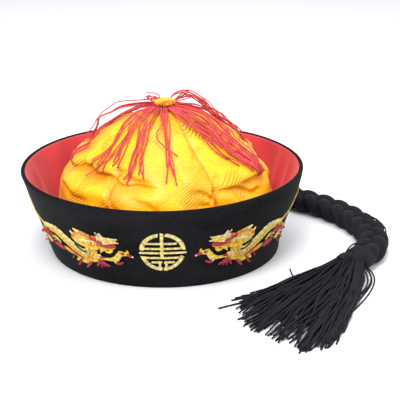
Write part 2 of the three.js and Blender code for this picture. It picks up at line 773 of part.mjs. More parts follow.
// A flat oval sleeve round the plait's line; rows hold the distance and the half width and height.
function ovalSleeve(rows, sides = 12) {
  const rings = rows.map((row) => {
    const { centre, aside } = queueFrame(row.distance);
    const ring = [];
    for (let j = 0; j < sides; j++) {
      const angle = (TURN * j) / sides;
      const point = centre.clone().addScaledVector(aside, row.halfWidth * Math.cos(angle));
      ring.push(point.addScaledVector(UP, row.halfHeight * Math.sin(angle)));
    }
    return ring;
  });
  return solidOf(skin(rings, false));
}

// The bound end at the hem: it follows the face of the band and meets the three strands.
function boundRoot() {
  const { length, halfWidth, halfHeight } = rootWrap;
  const sleeve = ovalSleeve([
    { distance: -7, halfWidth: 0.85 * halfWidth, halfHeight: 0.9 * halfHeight },
    { distance: 5, halfWidth, halfHeight },
    { distance: length - 2, halfWidth, halfHeight },
    { distance: length, halfWidth: halfWidth - 1, halfHeight: halfHeight - 0.8 },
  ]);
  const rings = [];
  for (let i = 0; i < bandSegments; i++) {
    const angle = (TURN * i) / bandSegments;
    const heights = [-2, 0, 18, 40];
    const wall = heights.map((height) => placeAt(angle, bandRadius(angle, height) + gap, height));
    rings.push([...wall, placeAt(angle, hemHalfDepth / 2, 40), placeAt(angle, hemHalfDepth / 2, -2)]);
  }
  return geometryOf(sleeve.subtract(solidOf(skin(rings, true))));
}

function tie() {
  const { length, halfWidth, halfHeight } = tieWrap;
  const end = tieStart + length;
  const sleeve = ovalSleeve([
    { distance: tieStart, halfWidth: halfWidth - 1, halfHeight: halfHeight - 1 },
    { distance: tieStart + 2, halfWidth, halfHeight },
    { distance: end - 2, halfWidth, halfHeight },
    { distance: end, halfWidth: halfWidth - 1.5, halfHeight: halfHeight - 1.5 },
  ]);
  return geometryOf(sleeve);
}

// One lock of the tassel: it leaves the neck, spreads and sinks to the table at its tip.
function tasselLock(lock, neckEnd) {
  const stations = 3;
  const { centre, ahead, aside } = queueFrame(neckEnd);
  const start = centre.clone().addScaledVector(aside, -lock.side * tassel.halfWidth * 0.72);
  start.addScaledVector(ahead, -3);
  const tip = new THREE.Vector3(lock.tipX, lock.tipY, 0);
  const run = tip.clone().sub(start).setZ(0);
  const across = new THREE.Vector3().crossVectors(UP, run).normalize();
  const rings = [];
  for (let i = 0; i <= stations; i++) {
    const along = i / stations;
    const point = start.clone().addScaledVector(run, along);
    point.addScaledVector(across, -lock.bow * Math.sin(Math.PI * along));
    const halfWidth = (lock.width / 2) * (0.62 + 0.5 * Math.sin(Math.PI * Math.min(along, 0.75)));
    const halfHeight = (lock.height / 2) * (1 - 0.45 * along);
    const settled = tassel.floor + halfHeight + lock.lift * (1 - along) ** 0.6;
    const sunk = Math.min(along * 3, 1);
    point.z = plaitHeight + (settled - plaitHeight) * sunk;
    rings.push(flatSection(point, across, UP, halfWidth, halfHeight));
  }
  return solidOf(skin(rings, false));
}

function queueTassel() {
  const start = tieStart + tieWrap.length + gap;
  const end = start + tassel.neckLength;
  const { halfWidth, halfHeight } = tassel;
  const neck = ovalSleeve([
    { distance: start, halfWidth, halfHeight },
    { distance: start + 3, halfWidth: halfWidth + 1, halfHeight: halfHeight + 1 },
    { distance: end, halfWidth, halfHeight: halfHeight + 0.5 },
  ]);
  return geometryOf(joined([neck, ...tasselLocks.map((lock) => tasselLock(lock, end))]));
}

addPiece("brim_shell", velvetBand(), velvet);
addPiece("brim_lining", lining(), redCloth);
for (let number = 0; number < goreCount; number++) {
  addPiece("crown_gore_" + (number + 1), gore(number), yellowSatin);
}
addPiece("crown_button", knob(), yellowSatin);
addPiece("crown_tassel", crownThreads(), redThread);
const slant = Math.hypot(bandHeight, rimRows[0].radius - hemHalfDepth) / bandHeight;
const roundelUp = (v) => roundelHeight + v / slant;
addPiece("medallion", onBand(roundelFlat(), 1, roundelUp, roundelShift), goldThread);
const { along, up } = rightShift;
addPiece("dragon_right", onBand(dragonFlat(), 1, (h) => h + up, along), orangeGold);
addPiece("dragon_left", onBand(dragonFlat(), -1, (h) => h), orangeGold);
addPiece("braid_root_wrap", boundRoot(), blackCord);
for (let number = 0; number < 3; number++) {
  addPiece("braid_strand_" + (number + 1), strand(number), blackCord);
}
addPiece("braid_tie", tie(), blackCord);
addPiece("queue_tassel", queueTassel(), blackCord);

export default hat;
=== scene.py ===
# %% [markdown]
# # A court hat with a plaited queue
# The hat is a band of black velvet turned up round a soft crown of yellow satin. Gold dragons and
# a roundel are stitched on the band, red threads spread from a knob on top, and a black plait
# lies on the table beside it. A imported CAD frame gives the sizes. This lesson dresses it: each
# piece of cloth, thread or yarn is a surface that numpy works out as whole arrays.

import math

import bpy
import numpy as np
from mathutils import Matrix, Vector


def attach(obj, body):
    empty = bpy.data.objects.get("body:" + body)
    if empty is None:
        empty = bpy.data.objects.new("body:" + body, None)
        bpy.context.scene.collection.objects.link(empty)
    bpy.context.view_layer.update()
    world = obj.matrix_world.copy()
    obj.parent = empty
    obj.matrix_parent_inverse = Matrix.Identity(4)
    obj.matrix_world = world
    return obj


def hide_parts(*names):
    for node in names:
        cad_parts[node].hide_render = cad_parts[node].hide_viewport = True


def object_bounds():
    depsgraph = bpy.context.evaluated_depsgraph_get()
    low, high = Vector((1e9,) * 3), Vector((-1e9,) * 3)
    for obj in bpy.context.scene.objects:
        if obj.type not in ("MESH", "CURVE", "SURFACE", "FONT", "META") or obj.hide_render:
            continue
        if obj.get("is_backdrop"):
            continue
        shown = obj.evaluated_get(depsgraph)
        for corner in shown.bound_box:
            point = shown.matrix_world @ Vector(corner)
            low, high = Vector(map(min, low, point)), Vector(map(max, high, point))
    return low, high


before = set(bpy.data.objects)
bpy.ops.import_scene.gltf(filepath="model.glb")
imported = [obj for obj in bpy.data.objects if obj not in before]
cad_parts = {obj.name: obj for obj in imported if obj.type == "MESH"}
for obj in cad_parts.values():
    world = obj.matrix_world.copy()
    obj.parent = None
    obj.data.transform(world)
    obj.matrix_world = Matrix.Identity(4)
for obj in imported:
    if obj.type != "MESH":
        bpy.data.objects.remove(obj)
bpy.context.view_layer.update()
MM = 0.001  # the tables below are in millimetres, and Blender works in metres
TURN = 2 * math.pi
UP = np.array([0, 0, 1.0])
print("pieces of the frame:", ", ".join(sorted(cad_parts)))

# %% [markdown]
# ## Camera
# The camera is set up first, because it decides which details matter. It looks down on the hat
# by about 20 degrees from almost a metre away, with a long lens, so the rim is a flat oval.

# %% Camera
CAMERA_PLACE = (31.25, -850.35, 347.0)
CAMERA_DIP = 19.95  # degrees below level
FRAME_OVER_FOCUS = 400 / 1060  # width of the frame, measured in focal lengths
SENSOR_WIDTH = 36
camera_data = bpy.data.cameras.new("camera")
camera_data.sensor_width = SENSOR_WIDTH
camera_data.lens = SENSOR_WIDTH / FRAME_OVER_FOCUS
camera = bpy.data.objects.new("camera", camera_data)
camera.location = [value * MM for value in CAMERA_PLACE]
camera.rotation_euler = (math.radians(90 - CAMERA_DIP), 0, 0)
bpy.context.scene.collection.objects.link(camera)
bpy.context.scene.camera = camera
print("lens of %.1f mm" % camera_data.lens)

# %% [markdown]
# ## Grids and tubes
# Nearly every piece is a grid of points that is bent into shape, or a bundle of tubes. Blender
# could make tubes from curves, but a grid keeps exact lengths for the texture coordinates, and
# thousands of threads fit into one mesh. The helpers below number the corners of the faces and
# hand whole arrays to Blender, which is much faster than adding one face after another.


# %% Numbering the faces
def grid_faces(rows, columns, close_rows=False, close_columns=False):
    """Corner numbers of the squares of a grid whose points are numbered row by row.
    A closed direction joins its last line to its first."""
    row = np.arange(rows if close_rows else rows - 1)[:, None]
    column = np.arange(columns if close_columns else columns - 1)[None, :]
    corners = [(row, column), (row, column + 1), (row + 1, column + 1), (row + 1, column)]
    numbers = [(r % rows) * columns + c % columns for r, c in corners]
    return np.stack(np.broadcast_arrays(*numbers), axis=-1).reshape(-1, 4)


def grid_uv(across, along):
    """Texture coordinates of every corner of a grid, in metres, from the values on its lines.
    A closed direction has one line more than it has points."""
    u, v = np.meshgrid(across, along)
    places = np.stack([u.ravel(), v.ravel()], axis=-1) * MM
    return places[grid_faces(*u.shape)].reshape(-1, 2)


def repeated(faces, count, step):
    """The same faces for several shapes whose points follow each other, a step apart."""
    return (faces[None] + step * np.arange(count)[:, None, None]).reshape(-1, faces.shape[1])


def tube_faces(rings, sides, count=1):
    """Faces of a number of equal tubes: all their squares, and a flat cap for each end."""
    ring = np.arange(sides)
    caps = np.stack([ring[::-1], ring + (rings - 1) * sides])
    squares = grid_faces(rings, sides, close_columns=True)
    return [repeated(faces, count, rings * sides) for faces in (squares, caps)]


def facing_out(points, groups):
    """Whether the faces point outwards. They do if the volume that they enclose isn't negative:
    the sum of a . (b x c) over the triangles of each face."""
    volume = 0.0
    for faces in groups:
        for k in range(1, faces.shape[1] - 1):
            a, b, c = points[faces[:, 0]], points[faces[:, k]], points[faces[:, k + 1]]
            volume += np.einsum("ij,ij->", a, np.cross(b, c))
    return volume >= 0


# %% Handing arrays to Blender
def new_piece(name, finish, points, groups, uv=None, dye=None):
    """A mesh object from arrays: points in millimetres, one array of corner numbers for each
    size of face, texture coordinates for each corner and a dye colour for each point. Faces that
    point inwards are all turned round."""
    groups = groups if isinstance(groups, list) else [groups]
    points = np.asarray(points, dtype=float).reshape(-1, 3)
    corner_uv = None if uv is None else np.asarray(uv)
    if not facing_out(points, groups):
        if corner_uv is not None:
            first = groups[0].size
            turned = corner_uv[:first].reshape(-1, groups[0].shape[1], 2)[:, ::-1].reshape(-1, 2)
            corner_uv = np.concatenate([turned, corner_uv[first:]])
        groups = [faces[:, ::-1] for faces in groups]
    corners = np.concatenate([faces.ravel() for faces in groups])
    sizes = np.concatenate([np.full(len(faces), faces.shape[1]) for faces in groups])
    mesh = bpy.data.meshes.new(name)
    mesh.vertices.add(len(points))
    mesh.vertices.foreach_set("co", (points * MM).ravel())
    mesh.loops.add(len(corners))
    mesh.loops.foreach_set("vertex_index", corners.astype(np.int32))
    mesh.polygons.add(len(sizes))
    mesh.polygons.foreach_set("loop_start", (np.cumsum(sizes) - sizes).astype(np.int32))
    mesh.polygons.foreach_set("use_smooth", np.ones(len(sizes), dtype=bool))
    mesh.update(calc_edges=True)
    if corner_uv is not None:
        full = np.zeros((len(corners), 2))
        full[: len(corner_uv)] = corner_uv
        mesh.uv_layers.new(name="UVMap").data.foreach_set("uv", full.ravel())
    if dye is not None:
        colours = np.concatenate([dye, np.ones((len(dye), 1))], axis=1)
        layer = mesh.color_attributes.new("dye", "FLOAT_COLOR", "POINT")
        layer.data.foreach_set("color", colours.ravel())
    mesh.materials.append(finish)
    piece = bpy.data.objects.new(name, mesh)
    bpy.context.scene.collection.objects.link(piece)
    print("%s: %d triangles" % (name, int((sizes - 2).sum())))
    return piece


# %% Tubes and smooth curves
def unit(vectors):
    """Vectors divided by their own lengths."""
    return vectors / np.maximum(np.linalg.norm(vectors, axis=-1, keepdims=True), 1e-9)


def tubes(paths, radius, sides, up):
    """Points, faces and texture coordinates of many tubes at once. paths has the shape (tubes,
    stations, 3), and each ring is centre + radius * (cos(a) * side + sin(a) * rise), where side
    is square to the path and to up, and rise is square to both. Each end has a flat cap."""
    count, stations = paths.shape[:2]
    ahead = unit(np.gradient(paths, axis=1))
    side = unit(np.cross(ahead, up))
    rise = np.cross(side, ahead)
    angle = TURN * np.arange(sides) / sides
    reach = np.broadcast_to(radius, (count, stations))[..., None, None]
    ring = np.cos(angle)[:, None] * side[:, :, None] + np.sin(angle)[:, None] * rise[:, :, None]
    points = (paths[:, :, None] + reach * ring).reshape(-1, 3)
    step = np.linalg.norm(np.diff(paths, axis=1), axis=-1)
    along = np.concatenate([np.zeros((count, 1)), np.cumsum(step, axis=1)], axis=1)
    rounds, lines = np.broadcast_arrays(np.arange(sides + 1) / sides, along[..., None] * MM)
    corner = repeated(grid_faces(stations, sides + 1), count, stations * (sides + 1))
    uv = np.stack([rounds.ravel(), lines.ravel()], axis=-1)[corner.ravel()]
    return points, tube_faces(stations, sides, count), uv


def through_rows(rows, share):
    """Smooth curve through the rows of a table, from its first row at 0 to its last at 1. Between
    two rows it is the cubic whose slope at each row points from the row before to the row after."""
    rows = np.asarray(rows, dtype=float)
    place = np.clip(np.asarray(share, dtype=float), 0, 1) * (len(rows) - 1)
    low = np.minimum(place.astype(int), len(rows) - 2)
    t = (place - low)[..., None]
    slope = np.gradient(rows, axis=0)
    slope[0], slope[-1] = rows[1] - rows[0], rows[-1] - rows[-2]
    a, b, sa, sb = rows[low], rows[low + 1], slope[low], slope[low + 1]
    return (
        a * (2 * t**3 - 3 * t**2 + 1)
        + sa * (t**3 - 2 * t**2 + t)
        + b * (3 * t**2 - 2 * t**3)
        + sb * (t**3 - t**2)
    )


def smoothstep(value, low, high):
    """Rises from 0 at low to 1 at high, level at both ends: 3t^2 - 2t^3."""
    t = np.clip((value - low) / (high - low), 0, 1)
    return t * t * (3 - 2 * t)


# %% [markdown]
# ## Building finishes from nodes
# A finish is a small graph of nodes. Writing each node as one line keeps the graphs readable. A
# link goes wherever an input is given another node's output, and plain numbers are set directly.


# %% Helpers for materials
def linear(red, green, blue):
    """A colour from 0 to 255 as seen on a screen, in the even steps of light that Blender needs:
    ((c + 0.055) / 1.055) to the power 2.4."""
    return [(((value / 255) + 0.055) / 1.055) ** 2.4 for value in (red, green, blue)] + [1.0]


class Finish:
    """A new material with its main shader, and short ways to add nodes to it."""

    def __init__(self, name, **values):
        self.material = bpy.data.materials.new(name)
        self.material.use_nodes = True
        self.tree = self.material.node_tree
        self.shader = self.tree.nodes["Principled BSDF"]
        for key, value in values.items():
            title = key.replace("_", " ").title().replace("Ior", "IOR")
            self.shader.inputs[title].default_value = value

    def node(self, kind, output=0, settings=None, **inputs):
        """Adds a node and returns one of its outputs. Its inputs are named in lower case, or
        numbered as i0, i1 and so on."""
        made = self.tree.nodes.new("ShaderNode" + kind)
        for key, value in (settings or {}).items():
            setattr(made, key, value)
        for key, value in inputs.items():
            numbered = key[0] == "i" and key[1:].isdigit()
            self.set(made.inputs[int(key[1:]) if numbered else key.replace("_", " ").title()], value)
        return made.outputs[output]

    def set(self, socket, value):
        """Links a node's output to a socket, or writes a plain value into it."""
        if isinstance(value, bpy.types.NodeSocket):
            self.tree.links.new(value, socket)
        else:
            socket.default_value = value

    def give(self, name, value):
        """Gives the main shader one of its inputs."""
        self.set(self.shader.inputs[name], value)

    def math(self, operation, a, b=0.0):
        """One sum, product or comparison of two values."""
        return self.node("Math", settings={"operation": operation}, i0=a, i1=b)

    def blend(self, one, one_share, other, other_share):
        """The sum of two values, each times its own share."""
        shares = [self.math("MULTIPLY", one, one_share), self.math("MULTIPLY", other, other_share)]
        return self.math("ADD", *shares)

    def split(self, kind, value):
        """The first two parts of a vector or a colour."""
        made = self.tree.nodes.new("ShaderNodeSeparate" + kind)
        self.set(made.inputs[0], value)
        return made.outputs[0], made.outputs[1]

    def noise(self, vector, scale, detail=2.0):
        """Soft grey patches, as many to the unit of the vector as the scale says."""
        return self.node("TexNoise", vector=vector, scale=scale, detail=detail)

    def ramp(self, value, stops):
        """Colours or greys that follow a value: stops are pairs of a place and a colour."""
        made = self.tree.nodes.new("ShaderNodeValToRGB")
        self.tree.links.new(value, made.inputs[0])
        elements = made.color_ramp.elements
        while len(elements) < len(stops):
            elements.new(0.5)
        for element, (place, colour) in zip(elements, stops):
            element.position = place
            element.color = colour
        return made.outputs[0]

    def mix(self, share, one, other):
        """The first colour where the share is 0 and the second where it is 1."""
        return self.node("Mix", output=2, settings={"data_type": "RGBA"}, i0=share, i6=one, i7=other)

    def bump(self, height, distance, strength):
        """Makes the light break as if the height stood out by the distance, in metres."""
        made = self.node("Bump", height=height, distance=distance, strength=strength)
        self.give("Normal", made)

    def stretched(self, source, scale):
        """Coordinates times a scale of their own in each direction."""
        return self.node("Mapping", vector=source, scale=scale)

    def coordinates(self, kind):
        """The texture coordinates of the mesh, or the place in the object."""
        return self.node("TexCoord", output={"UV": 2, "Object": 3}[kind])


def dress(name, finish, shape, slot, *nodes):
    """Makes a piece from its arrays and puts it on the hat in place of nodes of the frame."""
    piece = new_piece(name, finish, *shape)
    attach(piece, "root")
    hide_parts(*nodes)
    return piece


# %% [markdown]
# ## The line of the queue
# The plait is a free cord, so its route comes before anything that could hide it. It leaves the
# back of the hem, runs round the right side on the table and ends where it is tied off. The same
# points are the route of the CAD strands.

# %% Route of the plait
PLAIT_HEIGHT = 9.5  # of its middle above the table
PLAIT_LINE = [
    (2, 98.9), (7, 107), (16, 115.5), (29, 121.5), (45, 124), (63, 121.5), (81, 114.5),
    (98, 104), (112, 93), (124, 82), (135.5, 72.5), (146.5, 61.5), (156, 49), (164.5, 35),
    (171, 20), (175.5, 4.5), (177.5, -11), (176.5, -26), (172, -40.5), (164.5, -53.5),
    (155.5, -64.5),
]
QUEUE_PAST = 12  # the strands go on into the neck of the tassel

fine_line = through_rows(PLAIT_LINE, np.linspace(0, 1, 2001))
fine_length = np.concatenate([[0], np.cumsum(np.linalg.norm(np.diff(fine_line, axis=0), axis=1))])
QUEUE_LENGTH = float(fine_length[-1])


def line_point(distance):
    """The point of the line at distances along it."""
    return np.stack([np.interp(distance, fine_length, fine_line[:, k]) for k in (0, 1)], axis=-1)


def queue_frame(distance):
    """Centre and direction to the left of the queue at distances along it. Past either end it
    goes straight on."""
    inside = np.clip(distance, 0, QUEUE_LENGTH)
    step = 0.5
    before, after = np.clip(inside - step, 0, None), np.clip(inside + step, None, QUEUE_LENGTH)
    ahead = unit(line_point(after) - line_point(before))
    centre = line_point(inside) + ahead * (distance - inside)[..., None]
    flat = np.zeros(centre.shape[:-1] + (1,))
    aside = np.concatenate([-ahead[..., 1:], ahead[..., :1], flat], axis=-1)
    return np.concatenate([centre, flat + PLAIT_HEIGHT], axis=-1), aside


print("the plait is %.0f mm long" % QUEUE_LENGTH)

# %% [markdown]
# ## Yarn
# The plait and its tassel are black twisted yarn. Each yarn is two plies turned round each other, so light
# catches short slanting ridges. On a tube the texture coordinate goes once round it and counts metres along
# it, so a wave of their sum draws the twist. The wave bumps the surface and also sets its colour: the
# crests are painted lighter, a painted highlight, and the hollows darker, a painted shade.

# %% Finish of the black yarn
PLY_PITCH = 0.0034


def twisted_thread(name, colour, light, pitch, depth, **values):
    """A thread of two plies: a wave that goes round the tube twice while it moves one pitch along.
    The hollows between the plies are painted darker and the crests lighter, as painted shade and painted
    highlight, mixed with soft random patches of tone."""
    finish = Finish(name, **values)
    around, along = finish.split("XYZ", finish.coordinates("UV"))
    turns = finish.blend(along, 2 / pitch, around, 2.0)
    wave = finish.math("SINE", finish.math("MULTIPLY", turns, math.pi))
    ridge = finish.math("ABSOLUTE", wave)
    patch = finish.noise(finish.coordinates("Object"), 240.0)
    # painted shade in the hollows and painted highlight on the crests of the plies, mixed with random
    # patches of tone
    ply_shade_and_tone = finish.blend(ridge, 0.7, patch, 0.45)
    finish.give("Base Color", finish.ramp(ply_shade_and_tone, [(0.15, colour), (0.95, light)]))
    finish.bump(ridge, depth, 0.8)
    return finish.material


# black yarn: the darkest colour is painted shade in the ply hollows, the lightest a painted highlight on
# the crests
black_yarn = twisted_thread(
    "black yarn", linear(3, 3, 5), linear(32, 34, 43), pitch=PLY_PITCH, depth=0.0005,
    roughness=0.5, specular_ior_level=0.12, sheen_weight=0.02, sheen_roughness=0.5,
)
print("yarn whose plies turn once in %.1f mm" % (PLY_PITCH / MM))

# %% [markdown]
# ## The plait
# Three fat strands cross in turn. Each swings from side to side once in a period and dips twice,
# a third of a period after the next. A strand is itself a bundle of yarns, so its section has
# lobes that turn slowly along it.

# %% Plait
PLAIT_PERIOD = 54
PLAIT_SWAY = 6.8  # of a strand to either side
PLAIT_LOFT = 3.3  # of a strand up and down
CLOSING, CLOSING_FROM, CLOSING_TO = 0.35, 26, 6  # share of the sway lost, and where, before the tie
STRAND_WIDTH = 6.3  # half of it
STRAND_HEIGHT = 5.6  # half of it
STRAND_YARNS = 17
YARN_TURN = 46  # the yarns of a strand go once round it in this length
YARN_HOLLOW, YARN_CREST = 0.86, 0.16  # shares of the strand's width: between yarns, and more on them
SIDES_PER_YARN = 5
STRAND_START, STRAND_STEP = 4, 1.3  # distances along the queue
TABLE_GAP = 0.15  # the yarn stops this much above the table


def strand_paths(distance):
    """Centre lines of the three strands: sway * sin(s) to the side and loft * sin(2s) up, where s
    grows by a whole turn in a period."""
    centre, aside = queue_frame(distance)
    swing = TURN * distance[None] / PLAIT_PERIOD + TURN * np.arange(3)[:, None] / 3
    closed = smoothstep(distance, QUEUE_LENGTH - CLOSING_FROM, QUEUE_LENGTH - CLOSING_TO)
    sway = PLAIT_SWAY * (1 - CLOSING * closed)
    aside_by, up_by = sway * np.sin(swing), PLAIT_LOFT * np.sin(2 * swing)
    return centre[None] + aside_by[..., None] * aside[None] + up_by[..., None] * UP


def plait_strands():
    """Rings of an oval, fatter where two yarns lie side by side: radius * (1 + lobe * |cos|)."""
    distance = np.arange(STRAND_START, QUEUE_LENGTH + QUEUE_PAST, STRAND_STEP)
    paths = strand_paths(distance)
    ahead = unit(np.gradient(paths, axis=1))
    side = unit(np.cross(ahead, UP))
    rise = np.cross(side, ahead)
    sides = STRAND_YARNS * SIDES_PER_YARN
    angle = TURN * np.arange(sides) / sides
    twist = TURN * distance / YARN_TURN
    lobes = np.abs(np.cos((STRAND_YARNS * (angle[None] + twist[:, None])) / 2))
    bulge = YARN_HOLLOW + YARN_CREST * lobes**0.7
    width = (STRAND_WIDTH * bulge * np.cos(angle))[None, ..., None]
    height = (STRAND_HEIGHT * bulge * np.sin(angle))[None, ..., None]
    points = paths[:, :, None] + width * side[:, :, None] + height * rise[:, :, None]
    points[..., 2] = np.maximum(points[..., 2], TABLE_GAP)
    uv = grid_uv(np.arange(sides + 1) / sides * STRAND_YARNS / MM, distance)
    return points, tube_faces(len(distance), sides, 3), np.concatenate([uv] * 3)


strands = ["braid_strand_1", "braid_strand_2", "braid_strand_3"]
plait = dress("plait", black_yarn, plait_strands(), "black_cord", *strands)

# %% [markdown]
# ## Bindings at both ends of the plait
# Yarn is wound round the plait where it is sewn to the hem and where the tassel starts. A winding
# is a sleeve with one ridge for each turn.


# %% Bindings
WINDING_PITCH = 1.6
WINDING_RIDGE = 0.5
RINGS_PER_TURN = 6
WINDING_GAP = 0.1  # it stops this much above the table


def winding(rows, sides=72):
    """A sleeve round the queue through rows of distance, half width and half height, with ridges
    |sin| that stand 0.5 mm out and lean a little, as turns of a spiral do."""
    table = np.asarray(rows, dtype=float)
    count = int((table[-1, 0] - table[0, 0]) / WINDING_PITCH * RINGS_PER_TURN)
    share = np.linspace(0, 1, count)
    distance, width, height = through_rows(table, share).T
    centre, aside = queue_frame(distance)
    angle = TURN * np.arange(sides + 1) / sides
    spiral = distance[:, None] / WINDING_PITCH + angle[None] / TURN
    ridge = WINDING_RIDGE * np.abs(np.sin(math.pi * spiral)) ** 0.6
    across = (width[:, None] + ridge) * np.cos(angle)
    rise = (height[:, None] + ridge) * np.sin(angle)
    points = centre[:, None] + across[..., None] * aside[:, None] + rise[..., None] * UP
    points[..., 2] = np.maximum(points[..., 2], WINDING_GAP)
    uv = grid_uv(angle * width.max(), distance / WINDING_PITCH / MM)[:, ::-1]
    return points[:, :-1].reshape(-1, 3), tube_faces(count, sides), uv


TIE_ROWS = [
    # distance along the queue, half width, half height
    (300.5, 10.4, 7.2), (303, 11.6, 8.1), (307, 11.9, 8.4), (311, 11.6, 8.1), (314, 10.6, 7.3),
]
tie = dress("tie_winding", black_yarn, winding(TIE_ROWS), "black_cord", "braid_tie")

# %% [markdown]
# ## The tassel of the queue
# Past the tie the yarns lie loose on the table in a fan. Hair particles would be the usual way,
# but real tubes keep their thickness in every view. Each yarn is drawn from the neck to a point
# near the fan's edge, sinks onto the pile and waves a little, by seeded random numbers.

# %% Where the yarns of the tassel go
FAN_TIPS = [
    # ends of the longest yarns, from the fan's right edge to its left, seen from its neck
    (64, -124), (61, -132), (60, -143), (63, -157), (69, -170), (77, -180), (86, -188),
    (95, -198), (103, -202), (114, -198), (124, -188), (129, -176), (132, -164),
]
FAN_BOWS = [-6, -2, 2, 4, 3]  # how far yarns bow to their left, in the same order
YARNS = 340
SHORTER_BY = 0.36  # share of the way to the longest ends that the shortest yarn lacks
YARN_RADIUS = 0.68
YARN_GAP = 0.1  # between the lowest yarns and the table
YARN_STATIONS, YARN_SIDES = 22, 5
NECK_START = QUEUE_LENGTH + 2
NECK_WIDTH = 9.5  # half of it
NECK_HEIGHT = 6.2  # half of it
PILE_HEIGHT = 12.5  # of the fan near its neck
SINK_BY = 0.3  # the yarns have sunk onto the pile after this share of their way
LOOSE_YARNS = [
    # points of single yarns that stray from the fan or stick out of the plait
    [(150, -68, 9), (132, -80, 5), (105, -99, 2.4), (75, -117, 1.2), (45, -134, 0.9)],
    [(151, -66, 10), (128, -82, 6), (98, -103, 3), (72, -113, 1.2), (55, -120, 0.9)],
    [(158, -60, 12), (147, -59, 9), (134, -63, 5), (117, -76, 5), (96, -96, 4)],
    [(152, -64, 12), (141, -66, 12), (128, -74, 9), (112, -86, 6), (92, -103, 4)],
    [(108, -92, 2), (105.5, -88.5, 4.5), (104, -86.5, 7), (102.8, -85.2, 9.2), (102, -84.4, 11.4)],
    [(150, -66, 10), (130, -76, 6), (108, -90, 3), (84, -104, 1.2), (58, -116, 0.9)],
    [(149, -67, 9), (126, -79, 5), (102, -94, 2.4), (80, -106, 1), (63, -112, 0.9)],
    [(151, -65, 11), (134, -73, 8), (114, -84, 5), (92, -96, 2.5), (70, -107, 0.9)],
    [(160, -66, 10), (169, -74, 3), (168, -90, 1), (157, -117, 0.9), (136, -154, 0.9)],
    [(160, -68, 10), (167, -78, 3), (164.5, -93, 1), (153, -118, 0.9), (131, -160, 0.9)],
    [(159, -70, 9), (164, -80, 3), (161, -95, 1), (150, -119, 0.9), (128, -168, 0.9)],
    [(159, -67, 10), (166.5, -77, 4), (164, -93, 1.5), (151, -116, 0.9), (134, -141, 0.9)],
    [(158, -68, 8), (161.5, -81, 3), (157, -97, 1.5), (144, -119, 1.5), (130, -150, 0.9)],
    [(181, 24, 15), (187, 15, 14), (191.5, 3, 11), (190, -7, 9), (185, -13, 8)],
    [(180, 20, 16), (186, 12, 15), (189.5, 2, 13), (188, -6, 11), (184, -11, 10)],
    [(164, -46, 17), (156, -50, 18), (150, -56, 14), (149, -63, 10), (153, -70, 8)],
]


# %% Tassel of the queue
def fan_yarns():
    """Each yarn runs straight from the neck to its tip, plus bow * sin(pi t) to its left and a
    slow wave. Its height falls from the neck's to its own share of the pile, which thins to
    nothing at the tips."""
    random = np.random.default_rng(7)
    share = np.clip(random.random(YARNS) * 1.04 - 0.02, 0, 1)
    level = random.random(YARNS)
    reach = 1.0 - SHORTER_BY * random.random(YARNS) ** 1.6
    tip = through_rows(FAN_TIPS, np.clip(share + random.normal(0, 0.05, YARNS), 0, 1))
    tip = tip + np.clip(random.normal(0, 2.0, (YARNS, 2)), -3, 3)
    centre, aside = queue_frame(np.full(YARNS, NECK_START))
    place = 2 * np.clip(share + random.normal(0, 0.14, YARNS), 0, 1) - 1
    rise = 2 * level - 1
    start = centre + aside * (place * NECK_WIDTH * np.sqrt(1 - 0.6 * rise**2))[:, None]
    start[:, 2] += rise * NECK_HEIGHT * np.sqrt(1 - 0.7 * place**2)
    run = (tip - start[:, :2]) * reach[:, None]
    left = unit(np.stack([-run[:, 1], run[:, 0]], axis=-1))
    t = np.linspace(0, 1, YARN_STATIONS)[None]
    bow = np.interp(share, np.linspace(0, 1, len(FAN_BOWS)), FAN_BOWS)[:, None]
    phase, rate = TURN * random.random((YARNS, 1)), 1.2 + 1.6 * random.random((YARNS, 1))
    swing = 0.6 + 2.8 * random.random((YARNS, 1)) ** 2
    off = bow * np.sin(math.pi * t**0.85) + swing * np.sqrt(t) * np.sin(phase + TURN * rate * t)
    flat = start[:, None, :2] + run[:, None] * t[..., None] + left[:, None] * off[..., None]
    pile = PILE_HEIGHT * (1 - t) ** 0.75 * (1 - 0.55 * place[:, None] ** 2) + 1.2
    lowest = YARN_RADIUS + YARN_GAP
    sink = smoothstep(t, 0.0, SINK_BY)
    height = start[:, 2:] * (1 - sink) + (lowest + level[:, None] * pile) * sink
    height += 0.7 * (1 - t) * np.sin(2 * phase + TURN * rate * t)
    return np.concatenate([flat, np.maximum(height, lowest)[..., None]], axis=-1)


loose = np.stack([through_rows(rows, np.linspace(0, 1, YARN_STATIONS)) for rows in LOOSE_YARNS])
all_yarns = tubes(np.concatenate([fan_yarns(), loose]), YARN_RADIUS, YARN_SIDES, UP)
queue_yarns = dress("queue_yarns", black_yarn, all_yarns, "black_cord", "queue_tassel")
print("%d yarns, of which %d stray" % (YARNS + len(loose), len(loose)))

# %% [markdown]
# ## The band
# The band is stiff buckram covered with velvet, and it leans outwards from the hem to a rolled
# rim. Its oval isn't quite even, so the shape is read from the frame: four rings of the CAD band
# become a sum of waves round the hat, with a cubic curve between their heights.

# %% Shape of the band
HEAD_CENTRE = np.array([1.95, -0.35])  # middle of the hat, seen from above
RING_HEIGHTS = [0.0, 18.0, 40.0, 70.7]  # heights of the rings in the frame's band
RING_POINTS = 44  # of each ring
WAVES = 13  # terms that are kept of each ring's outline
BAND_TOP = 72.0
BAND_RADIUS = 106  # halfway up: one radian round the band is this long there
BAND_COLUMNS = 240
RING_TOLERANCE = 0.05


def node_points(name):
    """Corners of a node of the frame, in millimetres."""
    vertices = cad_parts[name].data.vertices
    flat = np.empty(3 * len(vertices))
    vertices.foreach_get("co", flat)
    return flat.reshape(-1, 3) / MM


